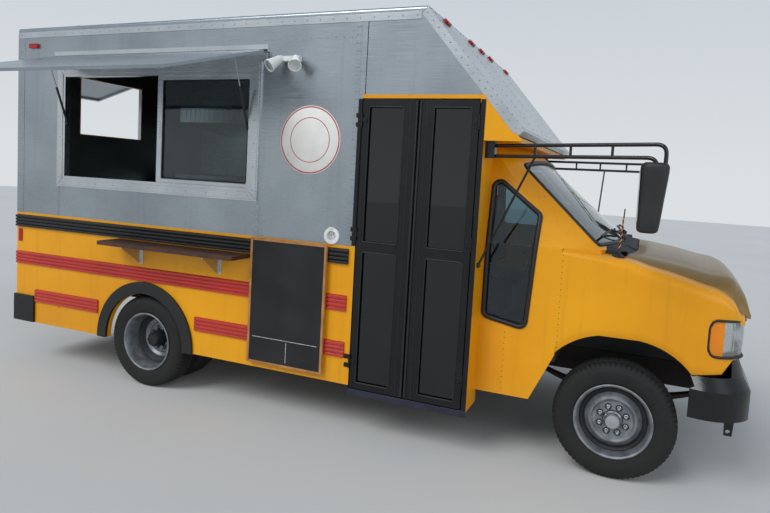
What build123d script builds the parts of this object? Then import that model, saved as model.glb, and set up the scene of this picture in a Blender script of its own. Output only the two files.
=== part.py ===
from build123d import *
from math import cos, hypot, radians, sin
import os

# Step-van food truck: a cutaway cab with a flat-sided body behind it.
# Millimetres. +X points to the front of the truck, +Y to its left side, +Z up.
# The origin is on the ground, on the centreline, under the front axle.

# Running gear
WHEELBASE = 3505
TYRE_R = 366
TYRE_W = 212
RIM_R = 221
FRONT_WHEEL_Y = 882
REAR_OUTER_Y = 1084
REAR_TWIN_GAP = 74
KINGPIN_Y = 700
AXLE_Z = TYRE_R
REAR_AXLE_X = -WHEELBASE

# Body
BODY_HALF = 1200
REAR_X = -4975
ROOF_Z = 2875
ROOF_THICK = 45
WALL = 38
BELT_Z = 1305
SKIRT_Z = 350
FLOOR_Z = 790
FLOOR_THICK = 30
RIDGE_X = -1278
SLOPE_FOOT_X = -621
SLOPE_FOOT_Z = 2103
SLOPE_RUN = SLOPE_FOOT_X - RIDGE_X
SLOPE_RISE = ROOF_Z - SLOPE_FOOT_Z
SLOPE_LEN = hypot(SLOPE_RUN, SLOPE_RISE)
ARCH_R = 392
FLARE_W = 92
FLARE_PROUD = 24

# Entry door on the right
ENTRY_REAR_X = -1695
ENTRY_TOP_Z = 2293
ENTRY_FOOT_Z = 321
LEAF_THICK = 36
LEAF_GAP = 6
MEET_GAP = 8

# Cab
CAB_HALF = 1007
CAB_BACK_RIGHT = -866
CAB_BACK_LEFT = -1250
CAB_FOOT_Z = 420
CAB_FLOOR_Z = 700
CAB_SKIN = 36
COWL_Z = 1400
CAB_ROOF_Z = 2040
DASH_X = -372
HOOD_REAR_X = 60
HOOD_HALF = 830
GRILLE_X = 660
BUMPER_X = 757
DOOR_GAP = 7
DOOR_EDGE = 42

# Serving window and its hatch on the right
WINDOW_X = (-4410, -2567)
WINDOW_Z = (1635, 2469)
FRAME_W = 78
FRAME_PROUD = 14
HATCH_HINGE_Z = 2600
HATCH_HINGE_Y = -(BODY_HALF + 30)
HATCH_LEN = 1010
HATCH_X = (-4500, -2455)
HATCH_DROOP = 16
HATCH_THICK = 24
STRUT_FOOT_Z = 2080
STRUT_EYE_S = 165
STRUT_EYE_N = 0
STRUT_R = 9
ROD_R = 4

# Barrel hinges on the hood, doors, hatch and flap
PIN_R = 4
PIN_OUT = 8
KNUCKLE_R = 7
KNUCKLE_LEN = 30
PLATE_THICK = 5
RUN_GAP = 0.3

# Flap in the rear wall
FLAP_Y = (-590, 180)
FLAP_Z = (2030, 2560)
FLAP_HINGE_Z = 2600
FLAP_LEN = 600

# Duct from the hood over the cook line, through the roof
DUCT_X = -3400
DUCT_Y = 880
DUCT_R = 150
SHEET = 10

os.makedirs("parts", exist_ok=True)


def keep(part, label):
    """Name a finished piece and write it."""
    part.label = label
    export_step(part, f"parts/{label}.step")


def block(x, y, z, mode=Mode.ADD):
    """A box between two values on each axis."""
    with Locations(((x[0] + x[1]) / 2, (y[0] + y[1]) / 2, (z[0] + z[1]) / 2)):
        Box(abs(x[1] - x[0]), abs(y[1] - y[0]), abs(z[1] - z[0]), mode=mode)


def rod(start, end, radius, mode=Mode.ADD):
    """A round bar between two points."""
    along = Vector(*end) - Vector(*start)
    middle = (Vector(*start) + Vector(*end)) * 0.5
    plane = Plane(origin=middle, z_dir=along)
    with Locations(plane.location):
        Cylinder(radius, along.length, mode=mode)


def prism(points, y, mode=Mode.ADD):
    """An outline in X and Z, extruded between two values of Y."""
    with BuildSketch(Plane.XZ.offset(-y[0])) as outline:
        with BuildLine():
            Polyline(*points, close=True)
        make_face()
    extrude(outline.sketch, amount=y[0] - y[1], mode=mode)


def hinge_half(at, run, out, reach, fixed):
    """Half of a barrel hinge: its plate goes along run, its pin lies PIN_OUT off the panel along out."""
    plane = Plane(origin=at, x_dir=run, z_dir=Vector(*run).cross(Vector(*out)))
    spans = ((-1.5, -0.5), (0.5, 1.5)) if fixed else ((-0.5, 0.5),)
    for low, high in spans:
        with BuildSketch(plane.offset(low * KNUCKLE_LEN + RUN_GAP)) as knuckle_face:
            Circle(KNUCKLE_R)
            with Locations((reach / 2, PLATE_THICK / 2 - PIN_OUT)):
                Rectangle(reach, PLATE_THICK)
            if not fixed:
                Circle(PIN_R + RUN_GAP, mode=Mode.SUBTRACT)
        extrude(knuckle_face.sketch, amount=(high - low) * KNUCKLE_LEN - 2 * RUN_GAP)
    if fixed:
        with BuildSketch(plane.offset(-1.4 * KNUCKLE_LEN)) as pin_face:
            Circle(PIN_R)
        extrude(pin_face.sketch, amount=2.8 * KNUCKLE_LEN)


def slope_x(z, depth=0):
    """X on the roof slope at height z, or on a line that deep under it."""
    return RIDGE_X + (ROOF_Z - z) * SLOPE_RUN / SLOPE_RISE - depth * SLOPE_LEN / SLOPE_RISE


# Ladder frame: two channel rails and the members between them
RAIL_Y = 430
RAIL_W = 62
RAIL_Z = (505, 672)
RAIL_WEB = 8
RAIL_X = (REAR_X + WALL + 1, BUMPER_X - 165)
CROSS_X = (-4840, -4150, -2900, -2150, -1480, 470)

with BuildPart() as rails:
    for side in (1, -1):
        with BuildSketch(Plane.YZ.offset(RAIL_X[0])):
            with Locations((side * RAIL_Y, sum(RAIL_Z) / 2)):
                Rectangle(RAIL_W, RAIL_Z[1] - RAIL_Z[0])
            with Locations((side * (RAIL_Y - RAIL_WEB), sum(RAIL_Z) / 2)):
                Rectangle(RAIL_W, RAIL_Z[1] - RAIL_Z[0] - 2 * RAIL_WEB, mode=Mode.SUBTRACT)
        extrude(amount=RAIL_X[1] - RAIL_X[0])
keep(rails.part, "frame_rails")

# The floor lies on hat-section sills that cross the rails.
SILL_REAR_X = REAR_X + 195
SILL_BEHIND = max(REAR_AXLE_X - TYRE_R - 459, SILL_REAR_X + 85)
SILL_AHEAD = REAR_AXLE_X + TYRE_R + 289
SILL_X = (SILL_REAR_X, SILL_BEHIND, SILL_AHEAD, -2450, -2050, -1800)
STEPWELL_Y = -700
SIDE_IN = BODY_HALF - WALL
FLOOR_UNDER = FLOOR_Z - FLOOR_THICK
SILL_W = 70
SILL_SHEET = 6

with BuildPart() as members:
    for x in CROSS_X:
        span = RAIL_Y + RAIL_W / 2 - RAIL_WEB
        block((x - 35, x + 35), (-span, span), (RAIL_Z[0] + 70, RAIL_Z[1] - 10))
    for x in SILL_X:
        with BuildSketch(Plane.XZ.offset(SIDE_IN)):
            with Locations((x, (RAIL_Z[1] + FLOOR_UNDER) / 2)):
                Rectangle(SILL_W, FLOOR_UNDER - RAIL_Z[1])
            with Locations((x, (RAIL_Z[1] + FLOOR_UNDER - SILL_SHEET) / 2)):
                Rectangle(SILL_W - 2 * SILL_SHEET, FLOOR_UNDER - RAIL_Z[1] - SILL_SHEET, mode=Mode.SUBTRACT)
        extrude(amount=-2 * SIDE_IN)
keep(members.part, "frame_crossmembers")

# Floor, with a lip down to the lower floor of the cab
RETURN_THICK = 30
RETURN_IN = CAB_HALF - 56
RETURN_X = CAB_BACK_RIGHT - RETURN_THICK
LIP = 12
LIP_Z = (CAB_FLOOR_Z - 25, FLOOR_UNDER + 1)

with BuildPart() as floor:
    with BuildSketch(Plane.XY.offset(FLOOR_UNDER)):
        with BuildLine():
            Polyline(
                (REAR_X + WALL, -SIDE_IN),
                (ENTRY_REAR_X, -SIDE_IN),
                (ENTRY_REAR_X, STEPWELL_Y),
                (CAB_BACK_RIGHT, STEPWELL_Y),
                (CAB_BACK_RIGHT, 0),
                (CAB_BACK_LEFT, 0),
                (CAB_BACK_LEFT, RETURN_IN),
                (CAB_BACK_LEFT - RETURN_THICK, RETURN_IN),
                (CAB_BACK_LEFT - RETURN_THICK, SIDE_IN),
                (REAR_X + WALL, SIDE_IN),
                close=True,
            )
        make_face()
    extrude(amount=FLOOR_THICK)
    block((CAB_BACK_RIGHT - LIP, CAB_BACK_RIGHT), (STEPWELL_Y, 0), LIP_Z)
    block((CAB_BACK_LEFT - LIP, CAB_BACK_LEFT), (-LIP, RETURN_IN), LIP_Z)
    block((CAB_BACK_LEFT - LIP, CAB_BACK_RIGHT), (-LIP, 0), LIP_Z)
keep(floor.part, "floor")

# Stepwell: two treads below the floor inside the entry door, and the sill
TREAD = 25
TREADS = (
    # front x, outer y, riser y, tread z, top of the riser
    (RETURN_X, -SIDE_IN + 4, -930, 345, 567),
    (CAB_BACK_RIGHT, -930, STEPWELL_Y, 567, FLOOR_Z),
)
with BuildPart() as stepwell:
    for front_x, outer_y, riser_y, tread_z, riser_top in TREADS:
        block((ENTRY_REAR_X, front_x), (outer_y, riser_y), (tread_z - TREAD, tread_z))
        block((ENTRY_REAR_X, front_x), (riser_y - TREAD, riser_y), (tread_z - TREAD, riser_top))
        for x in (ENTRY_REAR_X, front_x - 16):
            block((x, x + 16), (outer_y, riser_y), (tread_z - TREAD, FLOOR_Z))
    block((ENTRY_REAR_X, RETURN_X), (-BODY_HALF - 4, -SIDE_IN + 12), (285, ENTRY_FOOT_Z + 8))
keep(stepwell.part, "stepwell")


# Hinge pins of the entry door's two leaves
ENTRY_PIN_X = (ENTRY_REAR_X + LEAF_GAP / 2, RETURN_X - LEAF_GAP / 2)
ENTRY_PIN_Y = -BODY_HALF - PIN_OUT
ENTRY_HINGE_Z = (520, 1390, 2150)

# Body sides. Each is a yellow lower panel and a bare metal upper one.
def lower_side(side, front_x):
    """Skirt and lower wall up to the belt, with the rear wheel's arch cut out."""
    face_y = side * BODY_HALF
    with BuildPart() as panel:
        prism(
            (
                (REAR_X + WALL, SKIRT_Z),
                (front_x, SKIRT_Z),
                (front_x, BELT_Z),
                (REAR_X + WALL, BELT_Z),
            ),
            (face_y, face_y - side * WALL),
        )
        rod(
            (REAR_AXLE_X, face_y + side, AXLE_Z),
            (REAR_AXLE_X, face_y - side * (WALL + 1), AXLE_Z),
            ARCH_R,
            Mode.SUBTRACT,
        )
    return panel.part


with BuildPart() as lower_sides:
    add(lower_side(-1, ENTRY_REAR_X))
    add(lower_side(1, CAB_BACK_LEFT))
    hinge_half((ENTRY_PIN_X[0], ENTRY_PIN_Y, ENTRY_HINGE_Z[0]), (-1, 0, 0), (0, -1, 0), 40, True)
keep(lower_sides.part, "lower_sides")

WALL_TOP = ROOF_Z - ROOF_THICK
SOFFIT_Z = CAB_ROOF_Z + 26
INLET_X = -1874
INLET_Z = 1362
INLET_R = 40

with BuildPart() as upper_sides:
    prism(
        (
            (REAR_X + WALL, BELT_Z),
            (ENTRY_REAR_X, BELT_Z),
            (ENTRY_REAR_X, ENTRY_TOP_Z),
            (slope_x(ENTRY_TOP_Z, ROOF_THICK), ENTRY_TOP_Z),
            (slope_x(WALL_TOP, ROOF_THICK), WALL_TOP),
            (REAR_X + WALL, WALL_TOP),
        ),
        (-BODY_HALF, -SIDE_IN),
    )
    block(WINDOW_X, (-BODY_HALF - 1, -SIDE_IN + 1), WINDOW_Z, Mode.SUBTRACT)
    prism(
        (
            (REAR_X + WALL, BELT_Z),
            (CAB_BACK_LEFT, BELT_Z),
            (CAB_BACK_LEFT, SOFFIT_Z),
            (slope_x(SOFFIT_Z, ROOF_THICK), SOFFIT_Z),
            (slope_x(WALL_TOP, ROOF_THICK), WALL_TOP),
            (REAR_X + WALL, WALL_TOP),
        ),
        (BODY_HALF, SIDE_IN),
    )
    rod((INLET_X, -BODY_HALF - 1, INLET_Z), (INLET_X, -SIDE_IN + 1, INLET_Z), INLET_R, Mode.SUBTRACT)
    for z in ENTRY_HINGE_Z[1:]:
        hinge_half((ENTRY_PIN_X[0], ENTRY_PIN_Y, z), (-1, 0, 0), (0, -1, 0), 40, True)
keep(upper_sides.part, "upper_sides")

FLAP_PIN_OUT = 20
FLAP_PIN_X = REAR_X - FLAP_PIN_OUT
FLAP_HINGE_Y = (-480, 70)
with BuildPart() as rear_wall:
    block((REAR_X, REAR_X + WALL), (-BODY_HALF, BODY_HALF), (SKIRT_Z, WALL_TOP))
    block((REAR_X - 1, REAR_X + WALL + 1), FLAP_Y, FLAP_Z, Mode.SUBTRACT)
    for y in FLAP_HINGE_Y:
        hinge_half((FLAP_PIN_X, y, FLAP_HINGE_Z), (1, 0, 0), (0, 0, 1), FLAP_PIN_OUT + 1, True)
keep(rear_wall.part, "rear_wall")

with BuildPart() as roof:
    prism(
        (
            (REAR_X, WALL_TOP),
            (slope_x(WALL_TOP, ROOF_THICK), WALL_TOP),
            (RIDGE_X, ROOF_Z),
            (REAR_X, ROOF_Z),
        ),
        (-BODY_HALF, BODY_HALF),
    )
    fillet(roof.edges().filter_by(Axis.X).group_by(Axis.Z)[-1], 22)
    with Locations((DUCT_X, DUCT_Y, ROOF_Z)):
        Cylinder(DUCT_R + RUN_GAP, 3 * ROOF_THICK, mode=Mode.SUBTRACT)
keep(roof.part, "roof")

foot_in = (
    SLOPE_FOOT_X - ROOF_THICK * SLOPE_RISE / SLOPE_LEN,
    SLOPE_FOOT_Z - ROOF_THICK * SLOPE_RUN / SLOPE_LEN,
)
with BuildPart() as slope:
    prism(
        (
            (slope_x(WALL_TOP, ROOF_THICK), WALL_TOP),
            foot_in,
            (SLOPE_FOOT_X, SLOPE_FOOT_Z),
            (RIDGE_X, ROOF_Z),
        ),
        (-BODY_HALF, BODY_HALF),
    )
keep(slope.part, "roof_slope")

# Transition between the wide body and the narrower cab: a return face on each
# side, a cheek under the slope and the soffit across the cab roof.
RETURN_TOP_IN = 820


def return_wall(x, outer_y, z):
    """The wall across from the body's side in to the cab's leaning side."""
    side = 1 if outer_y > 0 else -1
    with BuildSketch(Plane.YZ.offset(x)) as face:
        with BuildLine():
            Polyline(
                (outer_y, z[0]),
                (side * RETURN_IN, z[0]),
                (side * RETURN_IN, COWL_Z),
                (side * RETURN_TOP_IN, z[1]),
                (outer_y, z[1]),
                close=True,
            )
        make_face()
    extrude(face.sketch, amount=RETURN_THICK)


HEADER_PROUD = 3
HEADER_Z = (ENTRY_TOP_Z, ENTRY_TOP_Z + 24)
with BuildPart() as transition:
    prism(
        (
            (RETURN_X, ENTRY_FOOT_Z),
            (CAB_BACK_RIGHT, ENTRY_FOOT_Z),
            (CAB_BACK_RIGHT, CAB_ROOF_Z),
            (slope_x(CAB_ROOF_Z, ROOF_THICK), CAB_ROOF_Z),
            (slope_x(ENTRY_TOP_Z, ROOF_THICK), ENTRY_TOP_Z),
            (RETURN_X, ENTRY_TOP_Z),
        ),
        (-BODY_HALF, -SIDE_IN),
    )
    return_wall(RETURN_X, -BODY_HALF, (ENTRY_FOOT_Z, CAB_ROOF_Z))
    return_wall(CAB_BACK_LEFT - RETURN_THICK, SIDE_IN, (SKIRT_Z, SOFFIT_Z))
    prism(
        (
            (RETURN_X, CAB_ROOF_Z),
            (foot_in[0] - 6, CAB_ROOF_Z),
            (slope_x(SOFFIT_Z, ROOF_THICK), SOFFIT_Z),
            (RETURN_X, SOFFIT_Z),
        ),
        (-SIDE_IN, BODY_HALF),
    )
    block((CAB_BACK_LEFT, RETURN_X), (RETURN_TOP_IN, BODY_HALF), (CAB_ROOF_Z, SOFFIT_Z))
    block(
        (ENTRY_REAR_X, RETURN_X),
        (-BODY_HALF - HEADER_PROUD, -BODY_HALF),
        HEADER_Z,
    )
    block(
        (RETURN_X - 1, CAB_BACK_RIGHT - 1),
        (-BODY_HALF - HEADER_PROUD, -BODY_HALF),
        (ENTRY_TOP_Z - 24, HEADER_Z[1]),
    )
    for z in ENTRY_HINGE_Z:
        hinge_half((ENTRY_PIN_X[1], ENTRY_PIN_Y, z), (1, 0, 0), (0, -1, 0), 28, True)
keep(transition.part, "front_transition")


# Cab. Its shell is the space between an outer form and the same form set in.
def cab_form(inset, top_drop):
    """The cab's outer form, set in by inset and with its roof lowered by top_drop."""
    sections = (
        # z, half width at the back and beside the dash, x there, front corner's x and half width, nose x
        (COWL_Z, CAB_HALF, 1003, -400, -150, 905, -10),
        (1950, 905, 893, -815, -742, 800, -640),
        (CAB_ROOF_Z - top_drop, 862, 850, -880, -826, 740, -740),
    )
    with BuildPart() as form:
        for z, half_back, half_side, side_x, corner_x, half_front, nose_x in sections:
            with BuildSketch(Plane.XY.offset(z)):
                with BuildLine():
                    corner = (corner_x - inset, half_front - inset)
                    nose = (nose_x - inset, 0)
                    ThreePointArc((corner[0], -corner[1]), nose, corner)
                    Polyline(
                        corner,
                        (side_x, half_side - inset),
                        (CAB_BACK_LEFT, half_back - inset),
                        (CAB_BACK_LEFT, inset - half_back),
                        (side_x, inset - half_side),
                        (corner[0], -corner[1]),
                    )
                make_face()
        loft(ruled=True)
        block(
            (CAB_BACK_LEFT, DASH_X),
            (-CAB_HALF + inset, CAB_HALF - inset),
            (CAB_FOOT_Z, COWL_Z + 0.5),
        )
    return form.part


WEDGE = (
    # x, z of the fixed side window's corners, clockwise from the top at the back
    (-838, 1794),
    (-786, 1797),
    (-524, 1598),
    (-566, 871),
    (-838, 922),
)
WEDGE_R = 32


def door_outline(ease):
    """X and Z round the driver's door. Its top rear corner is eased so that it swings clear."""
    front_x = DASH_X - DOOR_EDGE
    rear_x = CAB_BACK_LEFT + 32
    return (
        (front_x, 500),
        (front_x, 1425),
        (-826, 1900),
        (rear_x + ease, 1915),
        (rear_x, COWL_Z),
        (rear_x, 500),
    )


DOOR_EASE = 7
DOOR_GLASS = (
    # x, z
    (-560, 1400),
    (-868, 1840),
    (CAB_BACK_LEFT + 95, 1852),
    (CAB_BACK_LEFT + 90, 1400),
)
screen_plane = Plane(origin=(-420, 0, 1665), x_dir=(0, 1, 0), z_dir=(0.68, 0, 0.73))
SCREEN = (
    # half width and height along the plane, lower and upper corner
    (900, -520),
    (775, 365),
)
SCREEN_R = 70
SCREEN_FOOT_Z = 1424


def screen_cut(margin):
    """A block through the windshield's opening, with rounded corners at its top."""
    (low_half, low), (high_half, high) = SCREEN
    with BuildPart() as cut:
        with BuildSketch(screen_plane.offset(-160)) as opening:
            with BuildLine():
                Polyline((-low_half, low), (low_half, low), (high_half, high), (-high_half, high), close=True)
            make_face()
            fillet(opening.vertices().group_by(Axis.Z)[-1], SCREEN_R)
            if margin:
                offset(amount=margin)
        extrude(amount=620)
        block((-900, 600), (-CAB_HALF, CAB_HALF), (1000, SCREEN_FOOT_Z - margin), Mode.SUBTRACT)
    return cut.part


def outline_cut(points, y, margin=0.0, radius=0):
    """An outline in X and Z, grown by margin and rounded, cut through between two values of Y."""
    with BuildPart() as cut:
        with BuildSketch(Plane.XZ.offset(-y[0])) as outline:
            with BuildLine():
                Polyline(*points, close=True)
            make_face()
            if margin:
                offset(amount=margin, kind=Kind.INTERSECTION)
            if radius:
                fillet(outline.vertices(), radius + margin)
        extrude(amount=y[0] - y[1])
    return cut.part


form_outer = cab_form(0, 0)
form_inner = cab_form(CAB_SKIN, 30)
glass_outer = cab_form(10, 10)
glass_inner = cab_form(15, 15)
RIGHT_SIDE = (-CAB_HALF - 5, -CAB_HALF + 260)
LEFT_SIDE = (CAB_HALF + 5, CAB_HALF - 260)
PANE_FIT = -0.5
DRIVER_PIN = (DASH_X - DOOR_EDGE + DOOR_GAP / 2, CAB_HALF + PIN_OUT)
DRIVER_HINGE_Z = (620, 1230)
ARCH_BACK = (
    # x, z of the corner cut off behind the front wheel
    (-512, CAB_FOOT_Z - 1),
    (DASH_X + 1, 729),
    (DASH_X + 1, CAB_FOOT_Z - 1),
)

with BuildPart() as cab:
    add(form_outer)
    add(form_inner, mode=Mode.SUBTRACT)
    block(
        (CAB_BACK_LEFT - 1, CAB_BACK_RIGHT),
        (-CAB_HALF - 1, -CAB_HALF + 190),
        (CAB_FOOT_Z - 1, CAB_ROOF_Z + 1),
        Mode.SUBTRACT,
    )
    add(screen_cut(0), mode=Mode.SUBTRACT)
    add(outline_cut(WEDGE, RIGHT_SIDE, 0, WEDGE_R), mode=Mode.SUBTRACT)
    add(outline_cut(door_outline(0), LEFT_SIDE, DOOR_GAP), mode=Mode.SUBTRACT)
    prism(ARCH_BACK, (-CAB_HALF - 1, CAB_HALF + 1), Mode.SUBTRACT)
    for z in DRIVER_HINGE_Z:
        hinge_half((*DRIVER_PIN, z), (1, 0, 0), (0, 1, 0), 32, True)
keep(cab.part, "cab_shell")

with BuildPart() as windshield:
    add(glass_outer)
    add(glass_inner, mode=Mode.SUBTRACT)
    add(screen_cut(PANE_FIT), mode=Mode.INTERSECT)

with BuildPart() as cab_window:
    add(glass_outer)
    add(glass_inner, mode=Mode.SUBTRACT)
    add(outline_cut(WEDGE, RIGHT_SIDE, PANE_FIT, WEDGE_R), mode=Mode.INTERSECT)

HANDLE_X = (-1180, -1070)
with BuildPart() as driver_door:
    add(form_outer)
    add(form_inner, mode=Mode.SUBTRACT)
    add(outline_cut(door_outline(DOOR_EASE), LEFT_SIDE), mode=Mode.INTERSECT)
    add(outline_cut(DOOR_GLASS, LEFT_SIDE), mode=Mode.SUBTRACT)
    block(HANDLE_X, (CAB_HALF - 1, CAB_HALF + 18), (1235, 1262))
    for z in DRIVER_HINGE_Z:
        hinge_half((*DRIVER_PIN, z), (-1, 0, 0), (0, 1, 0), 44, False)
keep(driver_door.part, "driver_door")

with BuildPart() as driver_glass:
    add(glass_outer)
    add(glass_inner, mode=Mode.SUBTRACT)
    add(outline_cut(DOOR_GLASS, LEFT_SIDE, PANE_FIT), mode=Mode.INTERSECT)
keep(driver_glass.part, "driver_door_glass")

# Firewall and cab floor, open under the cover over the engine
HUMP_Y = 290
HUMP_X = (-800, DASH_X - CAB_SKIN)
HUMP_Z = 1180
HUMP_SKIN = 22
FIREWALL_TOP = COWL_Z - 34
cab_in = CAB_HALF - CAB_SKIN
with BuildPart() as cab_floor:
    block((DASH_X - CAB_SKIN, DASH_X), (-cab_in, cab_in), (CAB_FLOOR_Z - 25, FIREWALL_TOP))
    block((CAB_BACK_LEFT, DASH_X - CAB_SKIN + 1), (0, cab_in - DOOR_GAP), (CAB_FLOOR_Z - 25, CAB_FLOOR_Z))
    block((CAB_BACK_RIGHT, DASH_X - CAB_SKIN + 1), (-cab_in, 1), (CAB_FLOOR_Z - 25, CAB_FLOOR_Z))
    block(HUMP_X, (-HUMP_Y, HUMP_Y), (CAB_FLOOR_Z - 26, CAB_FLOOR_Z + 1), Mode.SUBTRACT)
    block(
        (HUMP_X[1] - 1, DASH_X + 1),
        (HUMP_SKIN - HUMP_Y, HUMP_Y - HUMP_SKIN),
        (CAB_FLOOR_Z - 26, HUMP_Z - 190),
        Mode.SUBTRACT,
    )
keep(cab_floor.part, "cab_floor")

with BuildPart() as hump:
    prism(
        (
            (HUMP_X[0], CAB_FLOOR_Z - 25),
            (HUMP_X[1], CAB_FLOOR_Z - 25),
            (HUMP_X[1], HUMP_Z),
            (HUMP_X[0] + 190, HUMP_Z),
            (HUMP_X[0], HUMP_Z - 170),
        ),
        (-HUMP_Y, HUMP_Y),
    )
    block(
        (HUMP_X[0] + HUMP_SKIN, HUMP_X[1] + 1),
        (HUMP_SKIN - HUMP_Y, HUMP_Y - HUMP_SKIN),
        (CAB_FLOOR_Z - 26, HUMP_Z - 190),
        Mode.SUBTRACT,
    )
    top_edges = hump.edges().filter_by(Axis.X).group_by(Axis.Z)[-1]
    fillet(top_edges, 60)
keep(hump.part, "engine_cover")

# Nose: hood, wings, cowl, grille, lamps and bumper
HOOD_SECTIONS = (
    # x, half width, edge z, shoulder z, crown z
    (-60, 826, 1377, 1397, 1416),
    (300, 826, 1297, 1343, 1368),
    (480, 826, 1245, 1305, 1328),
    (590, 824, 1180, 1290, 1318),
    (637, 818, 1108, 1250, 1288),
    (680, 812, 1098, 1185, 1225),
    (700, 806, 1094, 1110, 1125),
)
HOOD_SHEET = 22
HOOD_SHOULDER = 136
HOOD_PIN = (-25, 1385)
HOOD_HINGE_Y = (-450, 450)
HOOD_STRAP = 100
COWL_FRONT = HOOD_PIN[0] - 11
HOOD_CORNER_X = HOOD_PIN[0] + 11


def hood_face(x, half, edge_z, shoulder_z, crown_z):
    """Section of the hood: a crowned top between two rolled shoulders."""
    bend = half - HOOD_SHOULDER
    roll_y = half - 0.38 * HOOD_SHOULDER
    roll_z = edge_z + 0.64 * (shoulder_z - edge_z)
    with BuildSketch(Plane.YZ.offset(x)) as face:
        with BuildLine():
            for drop, turn in ((0, 1), (HOOD_SHEET, -1)):
                ThreePointArc(
                    (-turn * half, edge_z - drop),
                    (-turn * roll_y, roll_z - drop),
                    (-turn * bend, shoulder_z - drop),
                )
                ThreePointArc(
                    (-turn * bend, shoulder_z - drop),
                    (0, crown_z - drop),
                    (turn * bend, shoulder_z - drop),
                )
                ThreePointArc(
                    (turn * bend, shoulder_z - drop),
                    (turn * roll_y, roll_z - drop),
                    (turn * half, edge_z - drop),
                )
            Line((half, edge_z), (half, edge_z - HOOD_SHEET))
            Line((-half, edge_z - HOOD_SHEET), (-half, edge_z))
        make_face()
    return face.sketch


with BuildPart() as hood:
    loft([hood_face(*row) for row in HOOD_SECTIONS], ruled=True)
    with BuildSketch(Plane.XY.offset(FIREWALL_TOP - 60)) as behind:
        with BuildLine():
            rear_x = HOOD_SECTIONS[0][0] - 20
            Polyline(
                (HOOD_CORNER_X, -HOOD_HALF),
                (rear_x, -HOOD_HALF),
                (rear_x, HOOD_HALF),
                (HOOD_CORNER_X, HOOD_HALF),
            )
            ThreePointArc((HOOD_CORNER_X, HOOD_HALF), (41, 620), (HOOD_REAR_X, 400))
            Line((HOOD_REAR_X, 400), (HOOD_REAR_X, -400))
            ThreePointArc((HOOD_REAR_X, -400), (41, -620), (HOOD_CORNER_X, -HOOD_HALF))
        make_face()
    extrude(behind.sketch, amount=160, mode=Mode.SUBTRACT)
    for y in HOOD_HINGE_Y:
        hinge_half((HOOD_PIN[0], y, HOOD_PIN[1]), (1, 0, 0), (0, 0, 1), HOOD_STRAP, False)
keep(hood.part, "hood")

with BuildPart() as cowl:
    block((DASH_X, COWL_FRONT), (-HOOD_HALF, HOOD_HALF), (FIREWALL_TOP, COWL_Z))
    for y in HOOD_HINGE_Y:
        hinge_half((HOOD_PIN[0], y, HOOD_PIN[1]), (-1, 0, 0), (0, 0, 1), 26, True)
keep(cowl.part, "cowl")

WING_SKIN = 20
WING_LOW = 700
WING_IN = HOOD_HALF + 2
WING_SECTIONS = (
    # x, top z beside the hood, half width, shoulder radius
    (DASH_X, 1399, 1007, 26),
    (-20, 1372, 1007, 50),
    (135, 1334, 1007, 62),
    (278, 1302, 1006, 66),
    (430, 1259, 1000, 66),
    (528, 1230, 982, 60),
    (598, 1178, 957, 52),
    (637, 1112, 932, 44),
    (GRILLE_X, 1100, 908, 36),
)
LAMP_Z = (862, 1069)
LAMP_REAR_X = 470
LAMP_IN = 655


def wing_face(side, x, top, half, radius):
    """Section of one wing: flat top, round shoulder and side, as a sheet."""
    low = top - 8
    bend = half - radius
    lift = radius * cos(radians(45))
    inner = radius - WING_SKIN
    inner_lift = inner * cos(radians(45))
    with BuildSketch(Plane.YZ.offset(x)) as face:
        with BuildLine():
            Line((side * half, WING_LOW), (side * half, low - radius))
            ThreePointArc(
                (side * half, low - radius),
                (side * (bend + lift), low - radius + lift),
                (side * bend, low),
            )
            Line((side * bend, low), (side * WING_IN, top))
            Line((side * WING_IN, top), (side * WING_IN, top - WING_SKIN))
            Line((side * WING_IN, top - WING_SKIN), (side * bend, low - WING_SKIN))
            ThreePointArc(
                (side * bend, low - WING_SKIN),
                (side * (bend + inner_lift), low - radius + inner_lift),
                (side * (half - WING_SKIN), low - radius),
            )
            Line((side * (half - WING_SKIN), low - radius), (side * (half - WING_SKIN), WING_LOW))
            Line((side * (half - WING_SKIN), WING_LOW), (side * half, WING_LOW))
        make_face()
    return face.sketch


# Under each wing an apron stands on the frame's rail and a liner bends over the tyre.
APRON_Y = 458
APRON_SHEET = 10
LINER_OUT = 984
LINER = (
    # x, z round the liner's sheet: over its top to the front, and back under it
    (DASH_X + 2, 756),
    (-268, 862),
    (-124, 910),
    (112, 912),
    (292, 858),
    (412, 758),
    (420, 764),
    (297, 867),
    (115, 922),
    (-126, 920),
    (-272, 872),
    (DASH_X + 2, 769),
)
APRON = (
    (DASH_X + 2, RAIL_Z[1]),
    (DASH_X + 2, 760),
    (-268, 866),
    (-124, 915),
    (112, 917),
    (292, 863),
    (415, 760),
    (560, 740),
    (560, RAIL_Z[1]),
)


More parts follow.
